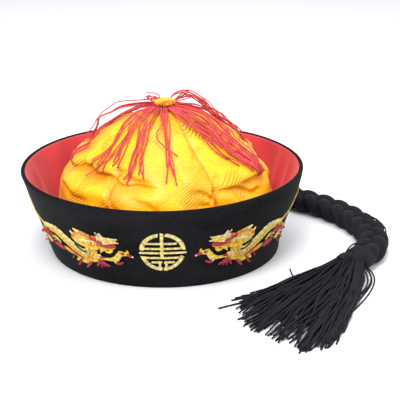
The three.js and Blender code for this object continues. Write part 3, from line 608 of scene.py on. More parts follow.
def ring_waves(points, height):
    """Waves round the outer ring of a node at one height: the Fourier terms of its radius."""
    level = points[np.abs(points[:, 2] - height) < RING_TOLERANCE, :2] - HEAD_CENTRE
    angle = np.arctan2(level[:, 0], -level[:, 1])
    step = np.rint(angle / TURN * RING_POINTS).astype(int) % RING_POINTS
    radius = np.zeros(RING_POINTS)
    np.maximum.at(radius, step, np.hypot(level[:, 0], level[:, 1]))
    return np.fft.rfft(radius)[:WAVES] / RING_POINTS


band_waves = np.stack([ring_waves(node_points("brim_shell"), height) for height in RING_HEIGHTS])


def band_radius(angle, height):
    """Distance of the velvet's face from the head's centre: at each ring the sum of its waves,
    and between the rings the cubic curve that goes through all four."""
    angle, height = np.broadcast_arrays(np.asarray(angle, float), np.asarray(height, float))
    terms = np.exp(1j * angle[..., None] * np.arange(WAVES))
    terms[..., 1:] *= 2
    rings = (terms[..., None, :] * band_waves).sum(axis=-1).real
    radius = np.zeros(angle.shape)
    for i, here in enumerate(RING_HEIGHTS):
        weight = np.ones(angle.shape)
        for j, other in enumerate(RING_HEIGHTS):
            if i != j:
                weight = weight * (height - other) / (here - other)
        radius += weight * rings[..., i]
    return radius


# %% Rings round the hat
def place_at(angle, radius, height):
    """A point of the hat. The angle is 0 at the front and grows towards +X."""
    x = HEAD_CENTRE[0] + radius * np.sin(angle)
    y = HEAD_CENTRE[1] - radius * np.cos(angle)
    return np.stack(np.broadcast_arrays(x, y, height), axis=-1)


def band_ring(section, columns):
    """A ring whose section is a closed list of rows: inset from the velvet's face, and height."""
    inset, height = np.asarray(section, dtype=float).T
    angle = TURN * np.arange(columns) / columns
    radius = band_radius(angle[None], height[:, None]) - inset[:, None]
    points = place_at(angle[None], radius, height[:, None])
    step = np.hypot(np.diff(inset, append=inset[0]), np.diff(height, append=height[0]))
    along = np.concatenate([[0], np.cumsum(step)])
    uv = grid_uv(np.arange(columns + 1) / columns * TURN * BAND_RADIUS, along)
    return points, grid_faces(len(section), columns, close_rows=True, close_columns=True), uv


print("the rim is %.0f mm from the middle at the front" % band_radius(0.0, BAND_TOP))

# %% [markdown]
# ## Velvet
# Velvet is a short dense pile. It is nearly black face on, and its fibres catch light at the
# edges, which the sheen of the shader gives. Fine noise stands for the tips of the pile.

# %% Velvet
velvet = Finish(
    "black velvet", roughness=0.92, specular_ior_level=0.1, sheen_weight=0.12, sheen_roughness=0.35
)
velvet.give("Sheen Tint", linear(150, 150, 160))
velvet_place = velvet.coordinates("Object")
pile = velvet.noise(velvet_place, 700.0, 3.0)
brushed = velvet.noise(velvet.stretched(velvet_place, (22, 22, 60)), 1.0, 3.0)
tone = velvet.blend(pile, 0.55, brushed, 0.45)
velvet_tones = [(0.34, linear(6, 6, 8)), (0.66, linear(30, 28, 32))]
velvet.give("Base Color", velvet.ramp(tone, velvet_tones))
velvet.bump(pile, 0.0003, 0.6)

# %% Velvet band
# Rows of the section: inset from the velvet's face, and height
outer_face = [(0.0, height) for height in np.linspace(1.2, 70.2, 24)]
RIM_ROLL = [
    (0.15, 70.9), (0.6, 71.5), (1.3, 71.9), (2.1, 72.0), (2.9, 71.8), (3.5, 71.3), (3.8, 70.6),
]
HIDDEN_FACE = [(3.0, 70.3), (2.6, 69.9), (2.6, 40.0), (2.6, 1.9)]
HEM_LIP = [(6.0, 1.7), (6.45, 1.3), (6.5, 0.6), (6.2, 0.0), (1.0, 0.0), (0.3, 0.4)]
band = band_ring(outer_face + RIM_ROLL + HIDDEN_FACE + HEM_LIP, BAND_COLUMNS)
dress("velvet_band", velvet.material, band, "black_velvet", "brim_shell")

# %% [markdown]
# ## Lining
# The inside of the band is faced with thin red cloth. It isn't glued, so it shows soft upright
# folds where it has to take up the lean of the band.

# %% Folds of the lining
LINING_OUTER = 3.05  # inset of the side that touches the velvet
LINING_WALL = 1.0
LINING_COLUMNS = 360
LINING_RADIUS = 104  # for lengths round the lining
LINING_FOLDS = [
    {"angle": -98, "lean": 3, "low": 14, "high": 66, "depth": 1.6, "width": 3.2},
    {"angle": -118, "lean": -4, "low": 20, "high": 70, "depth": 1.1, "width": 4.5},
    {"angle": -150, "lean": 4, "low": 25, "high": 70, "depth": 0.8, "width": 6.0},
    {"angle": 148, "lean": -3, "low": 25, "high": 70, "depth": 0.8, "width": 6.0},
    {"angle": 112, "lean": 3, "low": 16, "high": 70, "depth": 1.8, "width": 2.6},
    {"angle": 101, "lean": 4, "low": 12, "high": 68, "depth": 1.6, "width": 2.4},
    {"angle": 86, "lean": -2, "low": 18, "high": 66, "depth": 0.9, "width": 4.0},
]


def lining_folds(angle, height):
    """How far the lining stands off the band: each fold is a ridge depth * exp(-(d / width)^2)
    round its leaning line, fading out at its two ends."""
    total = np.zeros(np.broadcast(angle, height).shape)
    for fold in LINING_FOLDS:
        up = (height - fold["low"]) / (fold["high"] - fold["low"])
        line = np.radians(fold["angle"] + fold["lean"] * up)
        away = np.degrees(np.arctan2(np.sin(angle - line), np.cos(angle - line))) / fold["width"]
        fade = smoothstep(up, -0.1, 0.25) * (1 - smoothstep(up, 0.75, 1.1))
        total += fold["depth"] * np.exp(-(away**2)) * fade
    return total


# %% Lining
def red_lining():
    """A closed ring: the side that is seen, with its folds, and the side against the velvet."""
    seen = np.linspace(2.2, 71.2, 40)
    angle = TURN * np.arange(LINING_COLUMNS + 1)[None] / LINING_COLUMNS
    height = np.concatenate([seen, [71.0, 40.0, 18.0, 2.2]])[:, None]
    inset = np.full((len(height), LINING_COLUMNS), LINING_OUTER)
    inset[: len(seen)] += LINING_WALL
    inset[1 : len(seen)] += lining_folds(angle[:, :-1], height[1 : len(seen)])
    points = place_at(angle[:, :-1], band_radius(angle[:, :-1], height) - inset, height)
    faces = grid_faces(len(height), LINING_COLUMNS, close_rows=True, close_columns=True)
    return points, faces, grid_uv(angle * LINING_RADIUS, np.append(height, seen[0]))


red_cloth = Finish("red cloth", roughness=0.75, sheen_weight=0.2, sheen_roughness=0.4)
weave_place = red_cloth.stretched(red_cloth.coordinates("UV"), (2200, 2200, 1))
weave = red_cloth.node("TexChecker", output=1, vector=weave_place, scale=1.0)
blotch = red_cloth.noise(red_cloth.coordinates("Object"), 28.0, 4.0)
red_tones = [(0.3, linear(182, 38, 46)), (0.7, linear(212, 54, 60))]
red_cloth.give("Base Color", red_cloth.ramp(blotch, red_tones))
red_cloth.bump(weave, 0.00012, 0.4)
lining_shape = red_lining()
lining = dress("band_lining", red_cloth.material, lining_shape, "red_cloth", "brim_lining")

# %% [markdown]
# ## The crown
# Six gores of satin brocade are sewn side by side and gathered under the knob. The cloth is one
# surface here: the side view is turned round the hat, each gore puffs out between its seams,
# pleats run down from the knob, and creases cross the gores where the bag has sunk.

# %% Side view and creases of the crown
HEM_HALF_WIDTH, HEM_HALF_DEPTH = 97.0, 95.5
CROWN_SIDE = [
    # height, radius to the left, radius to the right
    (2.2, 92.4, 92.4), (18, 91.3, 91.6), (34, 89.8, 91.4), (48, 88.0, 89.6), (60, 86.8, 85.4),
    (70, 82.5, 81.5), (79, 72.0, 76.0), (89, 62.5, 66.0), (99, 51.5, 53.5), (108, 37.0, 39.5),
    (115, 21.5, 24.0), (119.5, 6.0, 6.0),
]
GORES = 6
GORE_PUFF = 3.0
SEAM_DEPTH, SEAM_WIDTH = 1.5, 2.0
PLEATS, PLEAT_DEPTH = 24, 1.5
PLEAT_START, PLEAT_REACH = 12, 50.0  # radii between which the pleats fade out
RIPPLE_DEPTH = 0.45
SEAM_TWIST = math.radians(7.3)  # the seams lean this much, mostly on the left, near the knob
CREASES = [
    # from angle, from height, to angle, to height, depth, width of its upper and its lower flank
    (-96, 72, -62, 78, 3.8, 2.2, 6), (-104, 90, -74, 90, 2.2, 5, 4),
    (-58, 81, -42, 78, 3.2, 2.0, 5), (-42, 78, -12, 74, 3.6, 2.0, 5.5),
    (-30, 84, -14, 79, 2.2, 2.2, 4), (58, 71, 82, 69, 3.4, 2, 5),
    (80, 75, 104, 72, 4.2, 3.5, 3.5), (120, 76, 170, 72, 3.0, 3, 8),
    (34, 80, 25, 62, 2.0, 2, 3.5), (38, 71, 60, 62, 2.4, 2, 4), (22, 72, 32, 58, 1.6, 2, 2),
    (-34, 74, -26, 58, 2.0, 2.5, 2.5), (196, 84, 232, 78, 3.0, 3, 7),
    (8, 97, 15, 72, 1.2, 3, 4), (-76, 66, -50, 61, 1.8, 2, 4), (62, 100, 86, 92, 1.6, 2, 5),
    (20, 88, 30, 98, 1.2, 2, 4), (-14, 68, 0, 58, 1.2, 2, 4), (84, 84, 108, 80, 2.0, 2, 5),
    (250, 92, 262, 74, 1.6, 3, 4), (150, 96, 158, 80, 1.4, 3, 4),
]
BULGES = [
    # the same columns, for places where the cloth swells out
    (-108, 83, -76, 82, 5.2, 4.0, 4.5), (-70, 84, -56, 86, 1.6, 5.0, 5.0),
    (-50, 87, -12, 84, 1.4, 5.0, 5.0), (-82, 66, -38, 69, 1.6, 6.0, 6.0),
    (44, 75, 80, 77, 2.2, 6.0, 6.0), (80, 63, 104, 62, 2.0, 5.0, 5.0),
    (80, 86, 104, 84, 1.6, 5.0, 5.0), (30, 76, 27, 64, 1.6, 2.4, 2.4),
    (-37, 78, -31, 62, 1.4, 2.2, 2.2),
]
print("%d creases and %d bulges" % (len(CREASES), len(BULGES)))


# %% Seams and creases of the crown
def oval_share(angle):
    """Radius of the head's oval in a direction, as a share of its half width."""
    return HEM_HALF_DEPTH / np.hypot(HEM_HALF_DEPTH * np.sin(angle), HEM_HALF_WIDTH * np.cos(angle))


def line_shares(lines, angle, height, radius):
    """For each line over the cloth, the share exp(-(d / width)^2) of its depth at a place, where
    d is the distance from the line, halved past its ends. The two flanks have their own widths,
    so a crease can be steep above and shallow below, like cloth that hangs over."""
    for from_angle, from_height, to_angle, to_height, depth, upper, lower in lines:
        reach = math.radians(to_angle - from_angle)
        turned = angle - math.radians(from_angle)
        along = np.arctan2(np.sin(turned), np.cos(turned)) / reach
        held = np.clip(along, 0, 1)
        past = (along - held) * reach * radius
        above = height - from_height - (to_height - from_height) * held
        above = above + 1.2 * np.sin(7 * held + depth)
        width = lower + (upper - lower) * smoothstep(above, -2, 2)
        yield depth * np.exp(-((past / 2 / lower) ** 2) - (above / width) ** 2)


def gore_place(angle, height):
    """Place across the gore, from -0.5 at one seam to 0.5 at the next, and the gore's number. Near
    the knob the seams are twisted."""
    turned = angle + SEAM_TWIST * (1 - np.sin(angle)) * smoothstep(height, 78, 104)
    number = np.rint(turned / (TURN / GORES))
    return turned / (TURN / GORES) - number, number


def crown_fold(angle, height, radius):
    """How deep the cloth lies in its creases, in millimetres."""
    return sum(line_shares(CREASES, angle, height, radius))


# %% Surface of the crown
def crown_point(angle, share, detail=True):
    """A point of the satin: the side view's radius, plus the puff 1 - |2x|^2.2 across each gore,
    minus a narrow valley at each seam, plus pleats cos(24 a) that fade out away from the knob,
    plus bulges, minus creases and a few slow ripples."""
    angle, share = np.broadcast_arrays(np.asarray(angle, float), np.asarray(share, float))
    height, left, right = np.moveaxis(through_rows(CROWN_SIDE, share), -1, 0)
    radius = (left + (right - left) * (1 + np.sin(angle)) / 2) * oval_share(angle)
    across, _ = gore_place(angle, height)
    gathered = 1 - smoothstep(radius, PLEAT_START, PLEAT_REACH)
    puff = GORE_PUFF * np.sin(math.pi * share) ** 0.8 * (1 - np.abs(2 * across) ** 2.2)
    top = smoothstep(radius, 7, 16)
    radius = radius + puff * (1 - 0.6 * gathered)
    if detail:
        to_seam = (0.5 - np.abs(across)) * TURN / GORES * radius
        radius = radius - SEAM_DEPTH * np.exp(-((to_seam / SEAM_WIDTH) ** 2)) * smoothstep(radius, 8, 20)
        wander = PLEATS * angle + 0.9 * np.sin(3 * angle + 1) + 0.7 * np.sin(5 * angle)
        pleat = np.cos(wander) + 0.5 * np.cos(wander / 2 + 1)
        radius = radius + PLEAT_DEPTH * gathered * top * pleat
        slope = 0.05 * height
        ripple = np.sin(11 * angle + 2.2 * slope) + 0.8 * np.sin(17 * angle - 3.1 * slope + 2)
        ripple += 0.7 * np.sin(7 * angle + 4.3 * slope + 1)
        ripple += 0.8 * np.sin(9 * angle + 0.11 * height * (1 + 0.3 * np.sin(2 * angle)))
        radius = radius + RIPPLE_DEPTH * ripple * top * smoothstep(height, 10, 50)
        radius = radius - crown_fold(angle, height, radius) * top
        radius = radius + sum(line_shares(BULGES, angle, height, radius)) * top
    return place_at(angle, radius, height)


def crown_normal(angle, share, step=0.004):
    """Direction out of the cloth: the cross product of its two slopes."""
    round_it = crown_point(angle + step, share, False) - crown_point(angle - step, share, False)
    upwards = crown_point(angle, np.minimum(share + step, 1), False)
    upwards = upwards - crown_point(angle, np.maximum(share - step, 0), False)
    return unit(np.cross(round_it, upwards))


def share_at(height):
    """Place on the side view that has a given height."""
    fine = np.linspace(0, 1, 400)
    return np.interp(height, through_rows(CROWN_SIDE, fine)[:, 0], fine)


print("the satin ends %.1f mm above the table" % crown_point(0.0, 1.0)[2])

# %% [markdown]
# ## Brocade
# The satin has a raised tone on tone pattern of squares that stand askew, every second one of
# them hatched. Real gores are cut from flat cloth, so each gore gets its own flat texture
# coordinates, in metres across and along the cloth, and the pattern breaks at the seams as it
# does on the hat.

# %% Pattern of the brocade
SQUARE_SIZE = 0.021
SQUARE_TURN = math.radians(52)
HATCH_LINES = 9  # across a square
HATCH_REACH = 0.42  # these three are shares of a square, from its middle
EDGE_LINE, EDGE_HALF_WIDTH = 0.457, 0.012


def hatched_squares(satin, flat):
    """The cloth's repeat is a square on a turned grid: max(|x|, |y|) from the nearest middle is
    the distance to its edge. Every second square is hatched with thin lines and has a line along
    its edge. Noise wears both away here and there."""
    turned = satin.node(
        "Mapping", vector=flat, rotation=(0, 0, SQUARE_TURN), scale=(1 / SQUARE_SIZE,) * 3
    )
    across, along = satin.split("XYZ", turned)
    near = [satin.math("ROUND", value) for value in (across, along)]
    x = satin.math("ABSOLUTE", satin.math("SUBTRACT", across, near[0]))
    y = satin.math("ABSOLUTE", satin.math("SUBTRACT", along, near[1]))
    square = satin.math("MAXIMUM", x, y)
    line = satin.math("SINE", satin.math("MULTIPLY", across, TURN * HATCH_LINES))
    every_second = satin.math("PINGPONG", satin.math("ADD", near[0], near[1]), 1.0)
    inside = satin.math("MULTIPLY", satin.math("LESS_THAN", square, HATCH_REACH), every_second)
    hatch = satin.math("MULTIPLY", satin.math("GREATER_THAN", line, 0.45), inside)
    from_edge = satin.math("ABSOLUTE", satin.math("SUBTRACT", square, EDGE_LINE))
    edge = satin.math("LESS_THAN", from_edge, EDGE_HALF_WIDTH)
    patches = satin.noise(satin.coordinates("Object"), 30.0, 2.0)
    worn = satin.ramp(patches, [(0.44, (0, 0, 0, 1)), (0.58, (1, 1, 1, 1))])
    return satin.math("MULTIPLY", satin.math("MAXIMUM", hatch, edge), worn)


# %% Satin
def satin_brocade():
    """The red channel of the dye attribute says how deep the cloth lies in a fold or next to a seam, and
    the satin is painted more orange there: painted shade, standing in for the light that the satin throws
    on itself in its folds. The green channel is 1 along the seams."""
    satin = Finish(
        "satin brocade", sheen_weight=0.06, sheen_roughness=0.3, anisotropic=0.35,
        specular_ior_level=0.42,
    )
    flat = satin.coordinates("UV")
    fret = hatched_squares(satin, flat)
    grain = satin.noise(satin.stretched(flat, (900, 700, 1)), 1.0, 2.0)
    tone = satin.blend(satin.noise(satin.coordinates("Object"), 26.0, 4.0), 0.5, grain, 0.5)
    plain = satin.ramp(tone, [(0.4, linear(238, 164, 2)), (0.6, linear(253, 207, 24))])
    fold, seam = satin.split("Color", satin.node("Attribute", settings={"attribute_name": "dye"}))
    lines = satin.mix(satin.math("MULTIPLY", fret, 0.9), plain, linear(168, 118, 16))
    # painted shade: orange where the dye attribute says the cloth lies deep in a fold
    deep = satin.mix(satin.math("MULTIPLY", fold, 0.6), lines, linear(244, 142, 0))
    sewn = satin.mix(satin.math("MULTIPLY", seam, 0.6), deep, linear(190, 96, 6))
    satin.give("Base Color", sewn)
    satin.give("Roughness", satin.math("ADD", satin.math("MULTIPLY", fret, 0.15), 0.4))
    satin.bump(satin.blend(fret, -0.7, grain, 0.5), 0.0004, 0.8)
    return satin.material


# %% Cloth of the crown
CROWN_COLUMNS, CROWN_ROWS = 360, 126
CLOTH_WALL = 1.2
GORE_SHIFT = (17.3, 31.7)  # the pattern of each gore starts this much further on
FOLD_SHADE_DEPTH = 5  # a crease this deep gets the full painted shade, in orange


def crown_cloth():
    """Rows from the hem to the knob, closer together towards the knob, and columns round the hat.
    The texture coordinates of a square are measured from the middle of its own gore."""
    angle = TURN * np.arange(CROWN_COLUMNS + 1) / CROWN_COLUMNS
    share = np.linspace(0, 1, CROWN_ROWS) ** 0.8
    points = crown_point(angle[None], share[:, None])
    radius = np.hypot(points[..., 0] - HEAD_CENTRE[0], points[..., 1] - HEAD_CENTRE[1])
    step = np.linalg.norm(np.diff(points, axis=0), axis=-1).mean(axis=1)
    along = np.concatenate([[0], np.cumsum(step)])
    across, number = gore_place(angle[None], points[..., 2])
    corner = grid_faces(CROWN_ROWS, CROWN_COLUMNS + 1)
    own = number.ravel()[corner][:, :1]
    apart = (across + number).ravel()[corner] - own
    own = own % GORES
    u = apart * TURN / GORES * radius.ravel()[corner] + GORE_SHIFT[0] * own
    v = np.repeat(along, CROWN_COLUMNS + 1)[corner] + GORE_SHIFT[1] * own
    uv = np.stack([u.ravel(), v.ravel()], axis=-1) * MM
    to_seam = (0.5 - np.abs(across)) * TURN / GORES * radius
    # painted shade: the deeper a point lies in a crease, and a little in each seam's valley, the more
    # orange the satin is painted there
    fold = crown_fold(angle[None], points[..., 2], radius) / FOLD_SHADE_DEPTH
    fold = fold + 0.3 * np.exp(-((to_seam / 2.5) ** 2))
    seam = np.exp(-((to_seam / 0.7) ** 2)) * smoothstep(radius, 12, 22)
    dye = np.stack([np.clip(fold, 0, 1), seam, 0 * seam], axis=-1)[:, :-1].reshape(-1, 3)
    faces = grid_faces(CROWN_ROWS, CROWN_COLUMNS, close_columns=True)
    cap = np.arange(CROWN_COLUMNS)[None] + (CROWN_ROWS - 1) * CROWN_COLUMNS
    return points[:, :-1], [faces, cap], uv, dye


satin = satin_brocade()
crown_shape = crown_cloth()
gores = ["crown_gore_%d" % number for number in range(1, GORES + 1)]
crown = dress("crown_cloth", satin, crown_shape, "yellow_satin", *gores)
wall = crown.modifiers.new("cloth thickness", "SOLIDIFY")
wall.thickness = CLOTH_WALL * MM
wall.offset = -1

# %% [markdown]
# ## The knob
# The gores end in a small gathered knob of the same satin. It is a flat ball with pleats that
# run from its middle over the edge. A sculpted or simulated knob would crease more freely, but a
# formula keeps it alike in every run.

# %% Gathered knob
KNOB = {"radius": 8.6, "base": 121.8, "top": 127.8, "pleats": 15}
KNOB_COLUMNS, KNOB_ROWS = 150, 30


def gathered_knob():
    """A flattened ball: radius * sin(t)^0.8 and half height * cos(t), where t goes from the foot
    to the top. Gathers |cos(7.5 a)| lean round the top as they run inwards, are uneven, and the
    middle of the top dips."""
    angle = TURN * np.arange(KNOB_COLUMNS) / KNOB_COLUMNS
    t = np.linspace(0.06, math.pi - 0.06, KNOB_ROWS)[:, None]
    half = (KNOB["top"] - KNOB["base"]) / 2
    swirl = angle[None] + 0.5 * smoothstep(t, 1.2, 3.0)
    wander = KNOB["pleats"] / 2 * swirl + 0.9 * np.sin(2 * swirl) + 0.5 * np.sin(3 * swirl + 1)
    pleat = (2 * np.abs(np.cos(wander)) - 1.2) * (1 + 0.4 * np.sin(swirl * 4 + 2))
    radius = KNOB["radius"] * np.sin(t) ** 0.8 * (1 + 0.11 * pleat * np.sin(t))
    height = KNOB["base"] + half * (1 - np.cos(t))
    height = height + 0.55 * pleat * np.sin(t) ** 0.5 * smoothstep(t, 1.2, 2.0)
    height = height - 1.4 * np.exp(-((radius / 2.6) ** 2)) * (t > 1.6)
    points = place_at(angle[None], radius, height)
    uv = grid_uv(np.linspace(0, 40, KNOB_COLUMNS + 1), np.linspace(0, 20, KNOB_ROWS))
    return points, tube_faces(KNOB_ROWS, KNOB_COLUMNS), uv


dress("gathered_knob", satin, gathered_knob(), "yellow_satin", "crown_button")

# %% [markdown]
# ## Root of the queue
# The plait is sewn to the back of the hem, and yarn is wound round it there. The winding starts
# inside the line of the band, so every point that would sink into the velvet is pushed out to
# just in front of it. That presses the winding flat against the hat.

# %% Root binding
ROOT_ROWS = [
    # distance along the queue, half width, half height
    (-6.5, 11.0, 7.6), (-3, 12.0, 8.4), (3, 12.4, 8.7), (10, 12.2, 8.6), (16, 11.6, 8.2),
    (19, 10.6, 7.4),
]
BAND_CLEARANCE = 0.3


def pushed_out(points, clearance):
    """Points nearer to the head's centre than the velvet's face plus the clearance are moved out
    to that distance, along the line from the centre."""
    flat = points[:, :2] - HEAD_CENTRE
    radius = np.hypot(flat[:, 0], flat[:, 1])
    angle = np.arctan2(flat[:, 0], -flat[:, 1])
    wanted = np.maximum(radius, band_radius(angle, points[:, 2]) + clearance)
    return np.column_stack([HEAD_CENTRE + flat * (wanted / radius)[:, None], points[:, 2]])


root_points, root_faces, root_uv = winding(ROOT_ROWS)
root_shape = pushed_out(root_points, BAND_CLEARANCE), root_faces, root_uv
root = dress("root_winding", black_yarn, root_shape, "black_cord", "braid_root_wrap")

# %% [markdown]
# ## Threads on the crown
# About 140 red threads are tied under the knob. They lie on the satin in loose bundles, and
# some stand off it in loops. Each bundle is a short table: where its middle runs, how wide it is
# and how far it lifts. A thread keeps its own share of the width, so the bundle fans out and
# closes up as one.

# %% Bundles on the satin
THREAD_RADIUS = 0.52
THREAD_STATIONS, THREAD_SIDES = 46, 6
THREAD_TOP = 119.4  # the threads on the satin start no higher than this
SEAM_SINK = 1.2  # how far they follow the satin into a seam
BUNDLES = [
    # threads, depth of the pile, crossing, then rows of angle, height, half width in degrees, lift
    (22, 2.2, 0.2, [(46, 119.4, 22, 1.2), (50, 114.5, 19, 2.6), (52, 107, 14, 1.6), (56, 99, 11, 1.0),
                    (60, 91, 9.5, 0.7), (65, 82, 7.5, 0.5), (69, 71, 6, 0.4)]),
    (4, 2.5, 0.8, [(136, 119.6, 30, 2), (118, 115, 14, 3), (108, 107, 9, 2), (104, 98, 7, 1),
                   (102, 84, 7, 0.5)]),
    (5, 1.5, 0.4, [(-128, 119.4, 24, 2), (-120, 113, 12, 2.6), (-104, 103, 9, 1.2), (-88, 95, 8, 0.7),
                   (-81, 86, 6, 0.5), (-81, 80, 6, 0.4), (-80, 73, 9, 0.3)]),
    (5, 1.2, 0.8, [(-76, 119.4, 24, 2), (-64, 114, 13, 2.4), (-54, 108, 9, 1), (-48, 101, 7.5, 0.8),
                   (-46, 92, 7, 0.5), (-49, 85, 10, 0.4), (-53, 76, 12, 0.3)]),
    (4, 1.2, 0.9, [(-56, 119.4, 14, 2), (-47, 113, 8, 2), (-40, 104, 6, 1), (-37, 92, 5, 0.5),
                   (-36, 79, 6, 0.3)]),
    (5, 1.5, 0.9, [(-38, 119.4, 20, 2), (-27, 111, 9, 2), (-21, 100, 6, 1), (-20, 88, 4, 0.5),
                   (-21, 76, 6, 0.3)]),
    (3, 1.2, 0.8, [(-26, 119.4, 12, 2), (-18, 107, 6, 1.2), (-16, 94, 3.6, 0.6), (-12, 81, 4, 0.3)]),
    (4, 1.2, 0.9, [(-4, 119.4, 18, 2), (3, 111, 6, 1.6), (5, 100, 3.4, 1), (7, 89, 3.4, 0.5),
                   (11, 73, 4, 0.3)]),
    (2, 1.0, 0.6, [(2, 119.4, 6, 2), (2, 110, 3, 1.4), (4, 98, 2, 0.6), (3, 77, 2, 0.3)]),
    (1, 0.0, 0.0, [(-14, 119, 0, 3), (0, 114, 0, 3), (-7, 107, 0, 2.4), (3, 99, 0, 1.6),
                   (20, 90, 0, 0.6)]),
    (2, 0.6, 0.4, [(46, 119.4, 8, 3), (42, 111, 4, 2), (42, 103, 3, 1.2), (45, 94, 2.6, 0.6),
                   (54, 82, 3, 0.4)]),
    (5, 2.0, 0.6, [(84, 119.4, 16, 2), (84, 112, 9, 2.4), (76, 102, 7, 1.4), (74, 90, 5, 0.6),
                   (75, 70, 6, 0.3)]),
    (6, 1.5, 0.7, [(178, 119.4, 26, 2), (176, 112, 12, 2), (174, 104, 9, 1), (172, 93, 8, 0.4)]),
    (5, 1.5, 0.7, [(148, 119.4, 20, 2), (140, 112, 11, 2), (133, 105, 8, 1), (128, 95, 8, 0.4)]),
    (6, 2.0, 0.7, [(208, 119.4, 26, 2), (214, 112, 13, 2.4), (220, 104, 10, 1.8), (226, 93, 9, 0.4)]),
    (5, 1.5, 0.7, [(250, 119.4, 20, 2), (252, 111, 11, 2.2), (255, 101, 9, 1.4), (258, 83, 8, 0.4)]),
]
print("%d bundles of %d threads" % (len(BUNDLES), sum(bundle[0] for bundle in BUNDLES)))


# %% Threads that stand off the satin
FREE_THREADS = [
    # threads, how far they lie apart in millimetres, then points of the middle one
    (4, 2.2, [(6, 6, 123), (9, 6, 128.8), (17, 6, 131), (23, 6, 130), (31, 6, 125.4), (37, 6, 121.7),
              (42, 6, 116), (49, 6, 111.7), (55, 6, 104.8), (61, 6, 100), (65, 6, 95)]),
    (3, 2.0, [(7, 4, 122), (13, 4, 126), (19, 5, 127), (27, 6, 127.4), (37, 6, 119.6),
              (44, 5, 113.4), (48, 3, 111)]),
    (4, 2.4, [(7, 8, 122), (14.6, 8, 127.4), (20, 9, 128.8), (31, 10, 121.7), (38, 10, 114.5),
              (48, 9, 107.4), (58, 8, 100), (69, 6, 87)]),
    (1, 0.0, [(-4, 4, 122), (-6, 4, 126), (-10, 4, 125.5), (-24, 4, 124.8), (-37, 4, 123.6),
              (-43.5, 4, 119.4), (-50.6, 4, 114), (-54.3, 4, 108), (-55, 3, 101), (-60, 2, 93)]),
    (3, 1.8, [(-4, 2, 122), (-8, 2, 123), (-18.5, 2, 120.7), (-32.6, 2, 117.9), (-42, 2, 113.5),
              (-49.4, 2, 111.3), (-54, 2, 109), (-56, 1, 103), (-61, 0, 95)]),
    (4, 1.8, [(-3, 0, 122), (-4.2, 0, 127), (-5.8, 0, 128.5), (-11, 0, 127.8), (-14.6, 0, 129.6)]),
    (2, 1.2, [(-3, -4, 122), (-8, -5, 126), (-11, -3, 127), (-8.5, -1, 128.8)]),
    (1, 0.0, [(-6, -9, 121), (-4, -10.5, 124), (0, -10.2, 126), (5, -9.5, 127.8), (9, -9, 127),
              (11, -9, 124.8), (11, -8, 121)]),
]


# %% How the threads run
KNOT_LOOPS = 34
KNOT_TOP, KNOT_RADIUS = 121.4, 8.0


def bundle_paths(threads, pile, crossing, rows, random):
    """Paths of the threads of one bundle. Each runs at its own share, from -1 to 1, of the
    bundle's half width and may cross to the other side on its way. It wavers a little, ends a
    little short, and lies on the satin at its own height in the pile."""
    reach = 1 - 0.2 * random.random((threads, 1)) ** 1.5
    t = np.linspace(0, 1, THREAD_STATIONS)[None] * reach
    angle, height, spread, lift = np.moveaxis(through_rows(rows, t), -1, 0)
    place = (np.arange(threads)[:, None] + 0.5) / threads * 2 - 1
    place = place + 0.2 * random.normal(0, 1, (threads, 1))
    crossed = crossing * random.random((threads, 1)) * smoothstep(t, 0.1, 1)
    place = place * np.cos(math.pi * crossed)
    phase = TURN * random.random((threads, 1))
    rate = 1 + 1.4 * random.random((threads, 1))
    waver = 0.3 * np.sin(phase + TURN * t * rate) * smoothstep(t, 0, 0.3)
    angle = np.radians(angle + spread * (place + waver))
    height = np.minimum(height + np.sin(2 * phase + 9 * t) * t, THREAD_TOP)
    share = share_at(height)
    smooth, real = (
        np.linalg.norm(crown_point(angle, share, detail)[..., :2] - HEAD_CENTRE, axis=-1)
        for detail in (False, True)
    )
    base = place_at(angle, np.maximum(smooth - SEAM_SINK, real), height)
    layer = (random.random((threads, 1)) * pile) * np.sin(math.pi * np.clip(t, 0.12, 0.95)) ** 0.6
    layer = layer + 0.12 * pile * np.sin(phase + 2.2 * TURN * t * rate) * np.sin(math.pi * t)
    off = THREAD_RADIUS + lift + np.maximum(layer, 0)
    return base + crown_normal(angle, share) * off[..., None]


def free_paths(threads, apart, points, random):
    """Paths of threads that stand clear of the satin: the middle one's points plus a shift of its
    own, which grows from nothing at the knob and sways once or twice on the way."""
    t = np.linspace(0, 1, THREAD_STATIONS)[None]
    middle = through_rows(points, t)
    phase = TURN * random.random((threads, 1, 3))
    shift = random.normal(0, 0.6, (threads, 1, 3)) + 0.5 * np.sin(phase + TURN * 1.3 * t[..., None])
    return middle + apart * shift * smoothstep(t, 0, 0.25)[..., None]


def knot_paths(random):
    """The tangle under the knob: arcs that come out between knob and crown, swell over the
    threads and go back in, each leaning its own way."""
    each = (KNOT_LOOPS, 1)
    middle = TURN * (np.arange(KNOT_LOOPS)[:, None] + random.random(each)) / KNOT_LOOPS
    t = np.linspace(0, 1, THREAD_STATIONS)[None]
    width = np.radians(18 + 40 * random.random(each))
    width = width * np.where(random.random(each) < 0.5, -1, 1)
    swell = 2.2 + 3.2 * random.random(each)
    drop = (1.5 + 2.2 * random.random(each)) * t + 1.2 * np.sin(math.pi * t)
    radius = KNOT_RADIUS + swell * np.sin(math.pi * t)
    return place_at(middle + width * (t - 0.5), radius, KNOT_TOP - drop)


